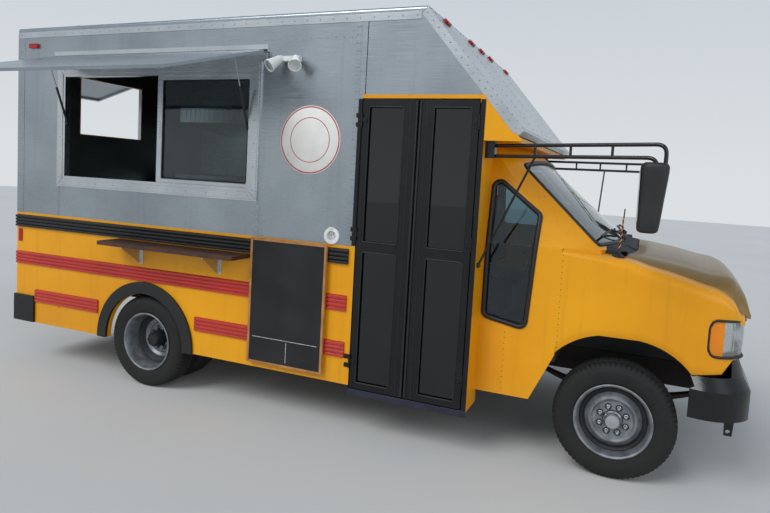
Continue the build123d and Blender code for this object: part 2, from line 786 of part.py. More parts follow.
def wing(side):
    """One front wing: arch and lamp opening cut out, apron and liner added behind."""
    with BuildPart() as sheet:
        loft([wing_face(side, *row) for row in WING_SECTIONS], ruled=True)
        with BuildSketch(Plane.XZ.offset(-side * 700)) as arch:
            with BuildLine():
                Line((DASH_X - 5, WING_LOW - 5), (DASH_X - 5, 740))
                ThreePointArc((DASH_X - 5, 740), (-256, 842), (-120, 895))
                Line((-120, 895), (110, 897))
                ThreePointArc((110, 897), (285, 842), (405, 741))
                Polyline((405, 741), (560, 763), (610, 850), (GRILLE_X + 5, 862))
                Line((GRILLE_X + 5, 862), (GRILLE_X + 5, WING_LOW - 5))
                Line((GRILLE_X + 5, WING_LOW - 5), (DASH_X - 5, WING_LOW - 5))
            make_face()
        extrude(arch.sketch, amount=-side * 320, mode=Mode.SUBTRACT)
        block(
            (LAMP_REAR_X, GRILLE_X + 5),
            (side * WING_IN, side * 1010),
            (LAMP_Z[0] - 4, LAMP_Z[1] + 4),
            Mode.SUBTRACT,
        )
        prism(LINER, (side * APRON_Y, side * LINER_OUT))
        prism(APRON, (side * APRON_Y, side * (APRON_Y - APRON_SHEET)))
    return sheet.part


with BuildPart() as wings:
    add(wing(1))
    add(wing(-1))
keep(wings.part, "front_wings")

# Grille in a front panel that stands on the frame's ends
PANEL_X = (578, 600)
GRILLE_Z = (822, 1082)
BAR_COUNT = 6
grille_mid = sum(GRILLE_Z) / 2
with BuildPart() as front_panel:
    with BuildSketch(Plane.YZ.offset(PANEL_X[0])):
        with Locations((0, 925)):
            Rectangle(2 * (HOOD_HALF - 4), 330)
        with Locations((0, 940)):
            Rectangle(1180, 220, mode=Mode.SUBTRACT)
    extrude(amount=PANEL_X[1] - PANEL_X[0])
    with BuildSketch(Plane.YZ.offset(PANEL_X[1])):
        with Locations((0, grille_mid)):
            RectangleRounded(1290, GRILLE_Z[1] - GRILLE_Z[0], 26)
            RectangleRounded(1230, GRILLE_Z[1] - GRILLE_Z[0] - 56, 16, mode=Mode.SUBTRACT)
            with GridLocations(0, 34, 1, BAR_COUNT):
                Rectangle(1250, 9)
            Rectangle(44, GRILLE_Z[1] - GRILLE_Z[0] - 20)
    extrude(amount=GRILLE_X - 10 - PANEL_X[1])
    for side in (1, -1):
        block((PANEL_X[0], PANEL_X[1] - 8), (side * 402, side * 458), (RAIL_Z[1], 775))
keep(front_panel.part, "grille")

with BuildPart() as headlamps:
    for side in (1, -1):
        with BuildSketch(Plane.XY.offset(LAMP_Z[0])):
            with BuildLine():
                Line((PANEL_X[1], side * LAMP_IN), (GRILLE_X + 12, side * LAMP_IN))
                Line((GRILLE_X + 12, side * LAMP_IN), (GRILLE_X + 8, side * 840))
                ThreePointArc(
                    (GRILLE_X + 8, side * 840),
                    (628, side * 928),
                    (LAMP_REAR_X + 4, side * 986),
                )
                Polyline(
                    (LAMP_REAR_X + 4, side * 986),
                    (LAMP_REAR_X + 4, side * 962),
                    (PANEL_X[1], side * 870),
                    (PANEL_X[1], side * LAMP_IN),
                )
            make_face()
        extrude(amount=LAMP_Z[1] - LAMP_Z[0])
keep(headlamps.part, "headlamps")

BUMPER_SHEET = 10
BUMPER_TIERS = (
    # z, how far the outline is set in
    (497, 0),
    (665, 0),
    (736, 38),
    (846, 70),
)
BUMPER_END = 395
BUMPER_SIDE_TOP = 737
FLANGE_X = 607
TOW_EYE = (655, -700, 345)
TOW_EYE_R = 13
TOW_PLATE = 16


def bumper_plan(z, inset):
    """Filled outline of the front bumper at height z."""
    front = BUMPER_X - inset
    end_y = 1020 - inset
    with BuildSketch(Plane.XY.offset(z)) as plan:
        with BuildLine():
            ThreePointArc((front - 30, -880 + inset), (front, 0), (front - 30, 880 - inset))
            ThreePointArc((front - 30, 880 - inset), (front - 110, end_y - 35), (BUMPER_END, end_y))
            Line((BUMPER_END, end_y), (BUMPER_END, -end_y))
            ThreePointArc((BUMPER_END, -end_y), (front - 110, 35 - end_y), (front - 30, -880 + inset))
        make_face()
    return plan.sketch


with BuildPart() as bumper:
    for (low, low_inset), (high, high_inset) in zip(BUMPER_TIERS, BUMPER_TIERS[1:]):
        loft([bumper_plan(low, low_inset), bumper_plan(high, high_inset)], ruled=True)
    for (low, low_inset), (high, high_inset) in zip(BUMPER_TIERS, BUMPER_TIERS[1:]):
        lift = BUMPER_SHEET if low == BUMPER_TIERS[0][0] else 0
        below = bumper_plan(low + lift, low_inset + BUMPER_SHEET)
        above = bumper_plan(high, high_inset + BUMPER_SHEET)
        loft([below, above], ruled=True, mode=Mode.SUBTRACT)
    with BuildSketch(Plane.XY.offset(BUMPER_TIERS[0][0] - 1)):
        with BuildLine():
            Polyline(
                (BUMPER_END - 5, 975),
                (560, 905),
                (FLANGE_X, 840),
                (FLANGE_X, -840),
                (560, -905),
                (BUMPER_END - 5, -975),
                close=True,
            )
        make_face()
    extrude(amount=BUMPER_TIERS[-1][0] - BUMPER_TIERS[0][0] + 2, mode=Mode.SUBTRACT)
    block(
        (BUMPER_END - 5, FLANGE_X + 8),
        (-1021, 1021),
        (BUMPER_SIDE_TOP, BUMPER_TIERS[-1][0] + 1),
        Mode.SUBTRACT,
    )
    prism(
        (
            (BUMPER_END - 5, 490),
            (470, 490),
            (442, 640),
            (BUMPER_END + 4, BUMPER_SIDE_TOP + 1),
            (BUMPER_END - 5, BUMPER_SIDE_TOP + 1),
        ),
        (-1021, 1021),
        Mode.SUBTRACT,
    )
    for side in (1, -1):
        web = side * (RAIL_Y + RAIL_W / 2 - RAIL_WEB)
        block((508, BUMPER_X - 14), (web - side * 12, web), (530, 650))
    tow_y = (TOW_EYE[1] - TOW_PLATE / 2, TOW_EYE[1] + TOW_PLATE / 2)
    prism(((628, 505), (690, 505), (677, 319), (633, 319)), tow_y)
    rod(
        (TOW_EYE[0], tow_y[0] - 1, TOW_EYE[2]),
        (TOW_EYE[0], tow_y[1] + 1, TOW_EYE[2]),
        TOW_EYE_R,
        Mode.SUBTRACT,
    )
keep(bumper.part, "front_bumper")

# Rear bumper: a channel against the rear wall, wrapped round the corners
STEP_Z = (SKIRT_Z + 2, SKIRT_Z + 234)
STEP_DEPTH = 55
STEP_HALF = 1060
STEP_SHEET = 10
with BuildPart() as rear_bumper:
    with BuildSketch(Plane.XY.offset(STEP_Z[0])):
        with BuildLine():
            Polyline(
                (REAR_X + 235, -BODY_HALF - 22),
                (REAR_X - 9, -BODY_HALF - 22),
                (REAR_X - 9, -STEP_HALF - 50),
                (REAR_X - STEP_DEPTH, -STEP_HALF),
                (REAR_X - STEP_DEPTH, STEP_HALF),
                (REAR_X - 9, STEP_HALF + 50),
                (REAR_X - 9, BODY_HALF + 22),
                (REAR_X + 235, BODY_HALF + 22),
                (REAR_X + 235, BODY_HALF),
                (REAR_X, BODY_HALF),
                (REAR_X, -BODY_HALF),
                (REAR_X + 235, -BODY_HALF),
                close=True,
            )
        make_face()
    extrude(amount=STEP_Z[1] - STEP_Z[0])
    block(
        (REAR_X - STEP_DEPTH + STEP_SHEET, REAR_X + 1),
        (STEP_SHEET - STEP_HALF, STEP_HALF - STEP_SHEET),
        (STEP_Z[0] + STEP_SHEET, STEP_Z[1] - STEP_SHEET),
        Mode.SUBTRACT,
    )
keep(rear_bumper.part, "rear_bumper")


# Rails along the body sides: ribbed red ones, a black rub rail, the belt trim
def side_rails(rows, ribs):
    """Ribbed strips on both sides from rows of (side, start x, end x, low z, high z, thickness)."""
    with BuildPart() as strips:
        for side, start, end, low, high, thick in rows:
            face_y = side * BODY_HALF
            with BuildSketch(Plane.YZ.offset(start)):
                with BuildLine():
                    pitch = (high - low) / ribs
                    points = [(face_y, low)]
                    for i in range(ribs):
                        z = low + i * pitch
                        points += [
                            (face_y + side * thick, z + 0.15 * pitch),
                            (face_y + side * thick, z + 0.7 * pitch),
                            (face_y + side * thick * 0.45, z + 0.85 * pitch),
                        ]
                    points += [(face_y, high)]
                    Polyline(*points, close=True)
                make_face()
            extrude(amount=end - start)
    return strips.part


ARCH_CLEAR = ARCH_R + FLARE_W + 12
RAIL_ONE = (855, 966)
RAIL_TWO = (534, 645)
RAIL_END = REAR_X + 240
SIDE_ENDS = ((-1, ENTRY_REAR_X - 42), (1, CAB_BACK_LEFT - 22))
RUB_Z = (1178, 1286)
RUB_PROUD = 22
red_rows = []
for side, front in SIDE_ENDS:
    red_rows += [
        (side, REAR_X + 4, front, *RAIL_ONE, 16),
        (side, RAIL_END, REAR_AXLE_X - ARCH_CLEAR, *RAIL_TWO, 16),
        (side, REAR_AXLE_X + ARCH_CLEAR, front, *RAIL_TWO, 16),
    ]
keep(side_rails(red_rows, 4), "red_rails")

rub_rows = [(side, REAR_X + 4, front, *RUB_Z, RUB_PROUD) for side, front in SIDE_ENDS]
with BuildPart() as flares:
    add(side_rails(rub_rows, 4))
    for side in (1, -1):
        with BuildSketch(Plane.XZ.offset(-side * BODY_HALF)):
            with Locations((REAR_AXLE_X, AXLE_Z)):
                Circle(ARCH_R + FLARE_W)
                Circle(ARCH_R, mode=Mode.SUBTRACT)
            with Locations((REAR_AXLE_X, SKIRT_Z - 300)):
                Rectangle(2 * ARCH_CLEAR, 600, mode=Mode.SUBTRACT)
        extrude(amount=-side * FLARE_PROUD)
keep(flares.part, "black_side_trim")

# Serving hatch, drawn in its own plane: local x along the truck, local y from
# the hinge to its lower edge, local z towards the truck when it is shut.
def flap_plane(origin, x_dir, out_dir):
    """The plane of a flap that droops HATCH_DROOP below level, away from the body along out_dir."""
    droop = radians(HATCH_DROOP)
    away = Vector(*out_dir)
    return Plane(origin=origin, x_dir=x_dir, z_dir=away * -sin(droop) - Vector(0, 0, 1) * cos(droop))


def hatch_point(droop, along, inward):
    """Y and Z of a point along the hatch from its hinge and inward from its plane."""
    a = radians(droop)
    return (
        HATCH_HINGE_Y - along * cos(a) + inward * sin(a),
        HATCH_HINGE_Z - along * sin(a) - inward * cos(a),
    )


HATCH_EDGE = 9
HATCH_FACE = 3
HATCH_RIM = 30
HATCH_SKIN = 6
HATCH_HINGE_X = (-4300, -3750, -3200, -2650)
EYE_SIDE = 28
EYE_X = (WINDOW_X[0] + EYE_SIDE, WINDOW_X[1] - EYE_SIDE)
EYE_HALF = 5
EYE_R = 9
EYE_PLATE = 4
strut_eye = hatch_point(HATCH_DROOP, STRUT_EYE_S, STRUT_EYE_N)
strut_foot = (-BODY_HALF - 3, STRUT_FOOT_Z)
strut_len = hypot(strut_eye[0] - strut_foot[0], strut_eye[1] - strut_foot[1])
strut_dir = ((strut_eye[0] - strut_foot[0]) / strut_len, (strut_eye[1] - strut_foot[1]) / strut_len)


def panel(plane, width, length, middle):
    """A flap's sheet with a rim folded towards the truck."""
    with BuildSketch(plane.offset(-HATCH_THICK)) as sheet:
        with Locations((middle, HATCH_EDGE + length / 2)):
            Rectangle(width, length)
    extrude(sheet.sketch, amount=HATCH_THICK - HATCH_FACE)
    with BuildSketch(plane.offset(-HATCH_THICK + HATCH_SKIN)) as recess:
        with Locations((middle, HATCH_EDGE + length / 2)):
            Rectangle(width - 2 * HATCH_RIM, length - 2 * HATCH_RIM)
    extrude(recess.sketch, amount=HATCH_THICK, mode=Mode.SUBTRACT)


hatch_at = flap_plane((0, HATCH_HINGE_Y, HATCH_HINGE_Z), (1, 0, 0), (0, -1, 0))
with BuildPart() as hatch:
    panel(hatch_at, HATCH_X[1] - HATCH_X[0], HATCH_LEN, sum(HATCH_X) / 2)
    for x, turn in ((EYE_X[0], -1), (EYE_X[1], 1)):
        plate_x = x + turn * (EYE_HALF + RUN_GAP + EYE_PLATE / 2)
        with BuildSketch(hatch_at.offset(HATCH_SKIN - HATCH_THICK)):
            with Locations((plate_x, STRUT_EYE_S)):
                Rectangle(EYE_PLATE, 2 * EYE_R + 10)
        extrude(amount=HATCH_THICK - HATCH_SKIN + STRUT_EYE_N + EYE_R)
    for x in HATCH_HINGE_X:
        pin = (x, HATCH_HINGE_Y, HATCH_HINGE_Z)
        hinge_half(pin, tuple(hatch_at.y_dir), tuple(hatch_at.z_dir), 34, False)
keep(hatch.part, "serving_hatch")


def on_strut(x, along):
    """A point along a strut at rest, measured from its foot."""
    return (x, strut_foot[0] + strut_dir[0] * along, strut_foot[1] + strut_dir[1] * along)


CYLINDER_LEN = 300
BORE_START = 60
STUD_R = 5
with BuildPart() as cylinders:
    for x in EYE_X:
        rod(on_strut(x, 22), on_strut(x, CYLINDER_LEN), STRUT_R)
        rod((x - EYE_HALF - 1, *strut_foot), (x + EYE_HALF + 1, *strut_foot), EYE_R + 2)
        rod(on_strut(x, EYE_R - 2), on_strut(x, 26), 5)
        rod((x - 7, *strut_foot), (x + 7, *strut_foot), STUD_R + RUN_GAP, Mode.SUBTRACT)
        rod(on_strut(x, BORE_START), on_strut(x, CYLINDER_LEN + 1), ROD_R + RUN_GAP, Mode.SUBTRACT)
keep(cylinders.part, "strut_cylinders")

ROD_START = 240
with BuildPart() as strut_rods:
    for x in EYE_X:
        rod(on_strut(x, ROD_START), on_strut(x, strut_len - EYE_R / 2), ROD_R)
        rod((x - EYE_HALF, *strut_eye), (x + EYE_HALF, *strut_eye), EYE_R)
keep(strut_rods.part, "strut_rods")

# Serving window: frame with the struts' studs, drip rail, sash bars
PANE_SPLIT_X = -3440
FRAME_WALL = 10
SASH_Y = (-SIDE_IN - 26, -SIDE_IN - 2)
SASH_X = (PANE_SPLIT_X, WINDOW_X[1] - FRAME_WALL)
SASH_Z = (WINDOW_Z[0] + FRAME_WALL, WINDOW_Z[1] - FRAME_WALL)
PANE_X = (SASH_X[0] + 46, SASH_X[1] - 26)
PANE_Z = (SASH_Z[0] + 30, SASH_Z[1] - 30)
frame_out = -BODY_HALF - FRAME_PROUD
with BuildPart() as window_frame:
    block(
        (WINDOW_X[0] - FRAME_W, WINDOW_X[1] + FRAME_W),
        (frame_out, -BODY_HALF),
        (WINDOW_Z[0] - FRAME_W, WINDOW_Z[1] + FRAME_W),
    )
    block(WINDOW_X, (frame_out, -SIDE_IN), WINDOW_Z)
    block(
        (WINDOW_X[0] + FRAME_WALL, WINDOW_X[1] - FRAME_WALL),
        (frame_out - 1, -SIDE_IN + 1),
        SASH_Z,
        Mode.SUBTRACT,
    )
    block(SASH_X, SASH_Y, SASH_Z)
    block(PANE_X, (SASH_Y[0] - 1, SASH_Y[1] + 1), PANE_Z, Mode.SUBTRACT)
    block(
        (HATCH_X[0] - 20, HATCH_X[1] + 20),
        (-BODY_HALF - 20, -BODY_HALF),
        (HATCH_HINGE_Z + 12, HATCH_HINGE_Z + 62),
    )
    block(HATCH_X, (-BODY_HALF - 5, -BODY_HALF), (WINDOW_Z[1] + FRAME_W - 1, HATCH_HINGE_Z + 13))
    for x in HATCH_HINGE_X:
        hinge_half((x, HATCH_HINGE_Y, HATCH_HINGE_Z), (0, 1, 0), (0, 0, 1), 28, True)
    for x, turn in ((EYE_X[0], -1), (EYE_X[1], 1)):
        wall_x = x + turn * (EYE_SIDE - FRAME_WALL + 1)
        rod((x - turn * 9, *strut_foot), (wall_x, *strut_foot), STUD_R)
keep(window_frame.part, "window_frame")

PANE_HALF = 3
with BuildPart() as panes:
    add(windshield.part)
    add(cab_window.part)
    pane_y = sum(SASH_Y) / 2
    block(PANE_X, (pane_y - PANE_HALF, pane_y + PANE_HALF), PANE_Z)
keep(panes.part, "fixed_glass")

# Flap in the rear wall, hinged along Y above its opening
flap_at = flap_plane((FLAP_PIN_X, 0, FLAP_HINGE_Z), (0, -1, 0), (-1, 0, 0))
with BuildPart() as flap:
    panel(flap_at, FLAP_Y[1] - FLAP_Y[0] + 60, FLAP_LEN, -sum(FLAP_Y) / 2)
    for y in FLAP_HINGE_Y:
        hinge_half((FLAP_PIN_X, y, FLAP_HINGE_Z), tuple(flap_at.y_dir), tuple(flap_at.z_dir), 34, False)
keep(flap.part, "rear_flap")

# Entry door: two glazed leaves, each hinged at its outer jamb
ENTRY_MID_X = (ENTRY_REAR_X + RETURN_X) / 2
LEAF_Y = (-BODY_HALF, -BODY_HALF + LEAF_THICK)
LEAF_Z = (ENTRY_FOOT_Z + 14, ENTRY_TOP_Z - LEAF_GAP)
LEAF_PANES_Z = ((378, 1274), (1344, 2238))
OUTER_STILE = 46
INNER_STILE = 98


def leaf(outer_x, inner_x, pin_x, glass=False):
    """One leaf from its jamb to the middle of the door: a frame, or its two panes."""
    turn = 1 if inner_x > outer_x else -1
    pane_x = (outer_x + turn * OUTER_STILE, inner_x - turn * INNER_STILE)
    mid_y = sum(LEAF_Y) / 2
    with BuildPart() as door:
        if glass:
            for z in LEAF_PANES_Z:
                block(pane_x, (mid_y - PANE_HALF, mid_y + PANE_HALF), z)
        else:
            block((outer_x, inner_x), LEAF_Y, LEAF_Z)
            for z in LEAF_PANES_Z:
                block(pane_x, (LEAF_Y[0] - 1, LEAF_Y[1] + 1), z, Mode.SUBTRACT)
            for z in ENTRY_HINGE_Z:
                hinge_half((pin_x, ENTRY_PIN_Y, z), (turn, 0, 0), (0, -1, 0), 40, False)
    return door.part


rear_leaf = (ENTRY_REAR_X + LEAF_GAP, ENTRY_MID_X - MEET_GAP / 2, ENTRY_PIN_X[0])
front_leaf = (RETURN_X - LEAF_GAP, ENTRY_MID_X + MEET_GAP / 2, ENTRY_PIN_X[1])
keep(leaf(*rear_leaf), "entry_leaf_rear")
keep(leaf(*rear_leaf, glass=True), "entry_glass_rear")
keep(leaf(*front_leaf), "entry_leaf_front")
keep(leaf(*front_leaf, glass=True), "entry_glass_front")

# Fittings outside
SHELF_X = (-3797, -2530)
SHELF_Y = (-BODY_HALF - 235, -BODY_HALF)
SHELF_Z = (1143, 1171)
BRACKET_X = (-3556, -2800)
BRACKET_FOOT_Z = 1000
BRACKET_REACH = 205
with BuildPart() as shelf:
    block(SHELF_X, SHELF_Y, SHELF_Z)
    front_edges = shelf.edges().filter_by(Axis.Z).group_by(Axis.Y)[0]
    fillet(front_edges, 30)
    for x in BRACKET_X:
        block((x - 20, x + 20), (-BODY_HALF - 6, -BODY_HALF), (BRACKET_FOOT_Z - 5, SHELF_Z[0] + 1))
        block((x - 20, x + 20), (-BODY_HALF - BRACKET_REACH, -BODY_HALF), (SHELF_Z[0] - 5, SHELF_Z[0] + 1))
        with BuildSketch(Plane.YZ.offset(x - 3)):
            with BuildLine():
                Polyline(
                    (-BODY_HALF - 5, BRACKET_FOOT_Z),
                    (-BODY_HALF - 5, SHELF_Z[0]),
                    (-BODY_HALF - BRACKET_REACH, SHELF_Z[0]),
                    (-BODY_HALF - BRACKET_REACH, SHELF_Z[0] - 14),
                    (-BODY_HALF - 18, BRACKET_FOOT_Z),
                    close=True,
                )
            make_face()
        extrude(amount=6)
keep(shelf.part, "service_shelf")

BOARD_Y = (-BODY_HALF - RUB_PROUD - RUN_GAP - 22, -BODY_HALF - RUB_PROUD - RUN_GAP)
with BuildPart() as menu:
    block((-2501, -1886), BOARD_Y, (395, 1300))
    block((-2485, -1902), (BOARD_Y[0] - 1, BOARD_Y[0] + 6), (411, 1284), Mode.SUBTRACT)
keep(menu.part, "menu_board")

# Power inlet: a flanged cup in the wall with a recess for the plug
INLET_CUP = (34, 30)
with BuildPart() as inlet:
    rod((INLET_X, -BODY_HALF - 8, INLET_Z), (INLET_X, -BODY_HALF, INLET_Z), 58)
    rod((INLET_X, -BODY_HALF - 1, INLET_Z), (INLET_X, -SIDE_IN + 10, INLET_Z), INLET_R - RUN_GAP)
    rod(
        (INLET_X, -BODY_HALF - 9, INLET_Z),
        (INLET_X, -BODY_HALF - 8 + INLET_CUP[1], INLET_Z),
        INLET_CUP[0],
        Mode.SUBTRACT,
    )
keep(inlet.part, "power_inlet")

with BuildPart() as marker_lamps:
    for y in (-940, -310, 0, 310, 940):
        z = SLOPE_FOOT_Z + SLOPE_RISE * 0.93
        base = Plane(
            origin=(slope_x(z), y, z),
            x_dir=(0, 1, 0),
            z_dir=(SLOPE_RISE / SLOPE_LEN, 0, SLOPE_RUN / SLOPE_LEN),
        )
        with BuildSketch(base):
            RectangleRounded(96, 40, 12)
        extrude(amount=26)
    for y in (-940, -180, 0, 180, 940):
        block((REAR_X - 24, REAR_X), (y - 45, y + 45), (2720, 2756))
    for side in (1, -1):
        block((-4830, -4735), (side * BODY_HALF, side * (BODY_HALF + 22)), (2702, 2740))
    for side in (1, -1):
        for z in (1100, 1245):
            rod((REAR_X - 30, side * 1010, z), (REAR_X, side * 1010, z), 56)
        block((REAR_X - 14, REAR_X), (side * 905, side * 1115), (700, 780))
keep(marker_lamps.part, "signal_lamps")

with BuildPart() as flood_lights:
    for x in (-2320, -2180):
        rod((x, -BODY_HALF - 40, 2552), (x + 26, -BODY_HALF - 150, 2500), 46)
    block((-2330, -2170), (-BODY_HALF - 42, -BODY_HALF), (2536, 2576))
keep(flood_lights.part, "flood_lights")


# Mirrors: two bent tubes out from the body's front corner, a brace and a tall head
ARM_ROOT = (-836, 1110)
ARM_Z = (
    # z at the root and at the bend
    (2014, 2034),
    (1950, 1962),
)
ARM_BEND_X = (158, 118)
ARM_BEND_R = 55
ARM_R = 11
HEAD_Z = (1566, 1936)
HEAD_AT = (110, 1390)
HEAD_TOP = (146, 184)
HEAD_FOOT = (112, 160)
BRACES = {
    # side: x on the lower arm, foot on the body
    -1: (-546, (CAB_BACK_RIGHT + 7, -1150, 1262)),
    1: (-300, (-320, 985, 1390)),
}


def lower_arm(side, x):
    """The point at x on the lower mirror arm."""
    share = (x - ARM_ROOT[0]) / (ARM_BEND_X[1] - ARM_ROOT[0])
    y = ARM_ROOT[1] + share * (HEAD_AT[1] - ARM_ROOT[1])
    return (x, side * y, ARM_Z[1][0] + share * (ARM_Z[1][1] - ARM_Z[1][0]))


def mirror_set(side):
    """One outside mirror with its arms."""
    y_out = side * HEAD_AT[1]
    root = (ARM_ROOT[0], side * ARM_ROOT[1])
    with BuildPart() as unit:
        for (z_in, z_out), bend_x in zip(ARM_Z, ARM_BEND_X):
            with BuildLine() as route:
                FilletPolyline(
                    (*root, z_in),
                    (bend_x, y_out, z_out),
                    (bend_x, y_out, HEAD_Z[1] - 30),
                    radius=ARM_BEND_R,
                )
            with BuildSketch(Plane(origin=route.line @ 0, z_dir=route.line % 0)) as round_face:
                Circle(ARM_R)
            sweep(round_face.sketch, path=route.line)
        with BuildSketch(Plane.XY.offset(HEAD_Z[1])) as head_top:
            with Locations((HEAD_AT[0], y_out)):
                RectangleRounded(*HEAD_TOP, 34)
        with BuildSketch(Plane.XY.offset(HEAD_Z[0])) as head_foot:
            with Locations((HEAD_AT[0] - 14, y_out)):
                RectangleRounded(*HEAD_FOOT, 34)
        loft([head_foot.sketch, head_top.sketch], ruled=True)
        block(
            (root[0] - 30, root[0] + 30),
            (root[1] - 30, root[1] + 30),
            (ARM_Z[1][0] - 14, CAB_ROOF_Z),
        )
        brace_x, brace_foot = BRACES[side]
        rod(lower_arm(side, brace_x), brace_foot, 7)
    return unit.part


with BuildPart() as mirrors:
    for side in (1, -1):
        add(mirror_set(side))
keep(mirrors.part, "mirrors")

# Inside the cab
STEERING_AT = (-700, 480, 1285)
STEERING_R = 190
COLUMN_LEN = 265
dash_front = DASH_X - CAB_SKIN
with BuildPart() as dashboard:
    prism(
        (
            (dash_front, 1010),
            (dash_front - 150, 1080),
            (dash_front - 190, 1290),
            (dash_front - 110, FIREWALL_TOP),
            (dash_front, FIREWALL_TOP),
        ),
        (30 - cab_in, cab_in - 30),
    )
    block(
        (dash_front - 400, dash_front + 1),
        (-HUMP_Y - 4, HUMP_Y + 4),
        (900, HUMP_Z + 4),
        Mode.SUBTRACT,
    )
    wheel_plane = Plane(origin=STEERING_AT, z_dir=(-0.55, 0, 0.84))
    rim_plane = Plane(
        origin=wheel_plane.origin + wheel_plane.x_dir * STEERING_R,
        x_dir=wheel_plane.x_dir,
        z_dir=wheel_plane.y_dir,
    )
    with BuildSketch(rim_plane):
        Circle(13)
    revolve(axis=Axis(wheel_plane.origin, wheel_plane.z_dir), revolution_arc=360)
    with Locations(wheel_plane.location):
        Cylinder(46, 34)
        with PolarLocations(110, 3):
            Box(150, 26, 14)
    rod(STEERING_AT, tuple(wheel_plane.origin - wheel_plane.z_dir * COLUMN_LEN), 30)
keep(dashboard.part, "dashboard")

SEAT_Y = (320, 800)
SEAT = (
    # x, z from its base at the back round the cushion to the backrest
    (-1200, CAB_FLOOR_Z),
    (-830, CAB_FLOOR_Z),
    (-830, 940),
    (-740, 955),
    (-735, 1080),
    (-1090, 1060),
    (-1200, 1690),
    (-1225, 1690),
    (-1238, 1670),
    (-1200, 940),
)
with BuildPart() as seat:
    prism(SEAT, SEAT_Y)
keep(seat.part, "driver_seat")

# Under the nose and the floor
MOUNT_Z = (560, 620)
GEARBOX_REAR = -1340
ENGINE_X = (-640, 180)
ENGINE_Z = (505, 960)
with BuildPart() as engine:
    block(ENGINE_X, (-255, 255), ENGINE_Z)
    fillet(engine.edges().filter_by(Axis.X).group_by(Axis.Z)[-1], 70)
    with BuildSketch(Plane.YZ.offset(GEARBOX_REAR)):
        with Locations((0, 550)):
            RectangleRounded(260, 200, 60)
    extrude(amount=ENGINE_X[0] + 5 - GEARBOX_REAR)
    for side in (1, -1):
        block((-130, -20), (side * 250, side * (RAIL_Y + RAIL_W / 2 - RAIL_WEB)), MOUNT_Z)
keep(engine.part, "engine")

PIPE_Y = -250
PIPE_Z = 455
with BuildPart() as exhaust:
    rod((-2900, PIPE_Y, PIPE_Z), (-900, PIPE_Y, PIPE_Z), 32)
    with BuildSketch(Plane.YZ.offset(-2450)):
        with Locations((PIPE_Y, PIPE_Z)):
            Ellipse(110, 75)
    extrude(amount=620)
    for x in (CROSS_X[3], CROSS_X[4]):
        rod((x, PIPE_Y, PIPE_Z + 20), (x, PIPE_Y, RAIL_Z[0] + 70), 6)
keep(exhaust.part, "exhaust")

TANK_TOP = 655
TANK_X = (-2750, -1750)
TANK_AT = (720, TANK_TOP - 115)
TANK_SIZE = (420, 230)
STRAP = 3
with BuildPart() as tank:
    with BuildSketch(Plane.YZ.offset(TANK_X[0])):
        with Locations(TANK_AT):
            RectangleRounded(*TANK_SIZE, 40)
    extrude(amount=TANK_X[1] - TANK_X[0])
    for x in (SILL_X[3], SILL_X[4]):
        with BuildSketch(Plane.YZ.offset(x - 20)):
            with Locations(TANK_AT):
                RectangleRounded(TANK_SIZE[0] + 2 * STRAP, TANK_SIZE[1] + 2 * STRAP, 40 + STRAP)
        extrude(amount=40)
        block((x - SILL_W / 2, x + SILL_W / 2), (530, 910), (TANK_TOP - 5, RAIL_Z[1]))
keep(tank.part, "fuel_tank")

# Axles
BEAM_TOP = 350
with BuildPart() as front_axle:
    with BuildSketch(Plane.YZ.offset(-38)):
        with BuildLine():
            Polyline(
                (-KINGPIN_Y + 40, 330),
                (-KINGPIN_Y + 40, 400),
                (-470, BEAM_TOP),
                (470, BEAM_TOP),
                (KINGPIN_Y - 40, 400),
                (KINGPIN_Y - 40, 330),
                (430, 270),
                (-430, 270),
                close=True,
            )
        make_face()
    extrude(amount=76)
    for side in (1, -1):
        with Locations((0, side * KINGPIN_Y, AXLE_Z)):
            Cylinder(42, 90)
            Cylinder(14, 130)
keep(front_axle.part, "front_axle")


STUB_END = FRONT_WHEEL_Y + 40


def knuckle(side):
    """A steering knuckle: a fork on the kingpin and the stub axle."""
    with BuildPart() as fork:
        for z in (AXLE_Z + 49, AXLE_Z - 69):
            block((-40, 40), (side * (KINGPIN_Y - 40), side * (KINGPIN_Y + 70)), (z, z + 20))
            with Locations((0, side * KINGPIN_Y, z + 10)):
                Cylinder(14.1, 30, mode=Mode.SUBTRACT)
        block((-40, 40), (side * (KINGPIN_Y + 46), side * (KINGPIN_Y + 72)), (AXLE_Z - 69, AXLE_Z + 69))
        rod((0, side * (KINGPIN_Y + 60), AXLE_Z), (0, side * STUB_END, AXLE_Z), 26)
        rod((0, side * (KINGPIN_Y + 74), AXLE_Z), (0, side * (KINGPIN_Y + 86), AXLE_Z), 150)
    return fork.part


keep(knuckle(-1), "knuckle_right")
keep(knuckle(1), "knuckle_left")

AXLE_TUBE_Y = 960
AXLE_TUBE_R = 45
with BuildPart() as rear_axle:
    rod((REAR_AXLE_X, -AXLE_TUBE_Y, AXLE_Z), (REAR_AXLE_X, AXLE_TUBE_Y, AXLE_Z), AXLE_TUBE_R)
    with Locations((REAR_AXLE_X, 0, AXLE_Z)):
        Sphere(165)
    rod((REAR_AXLE_X, 0, AXLE_Z), (REAR_AXLE_X + 186, 0, AXLE_Z + 20), 60)
    rod((GEARBOX_REAR - 3, 0, 500), (REAR_AXLE_X + 180, 0, AXLE_Z + 20), 42)
keep(rear_axle.part, "rear_axle")


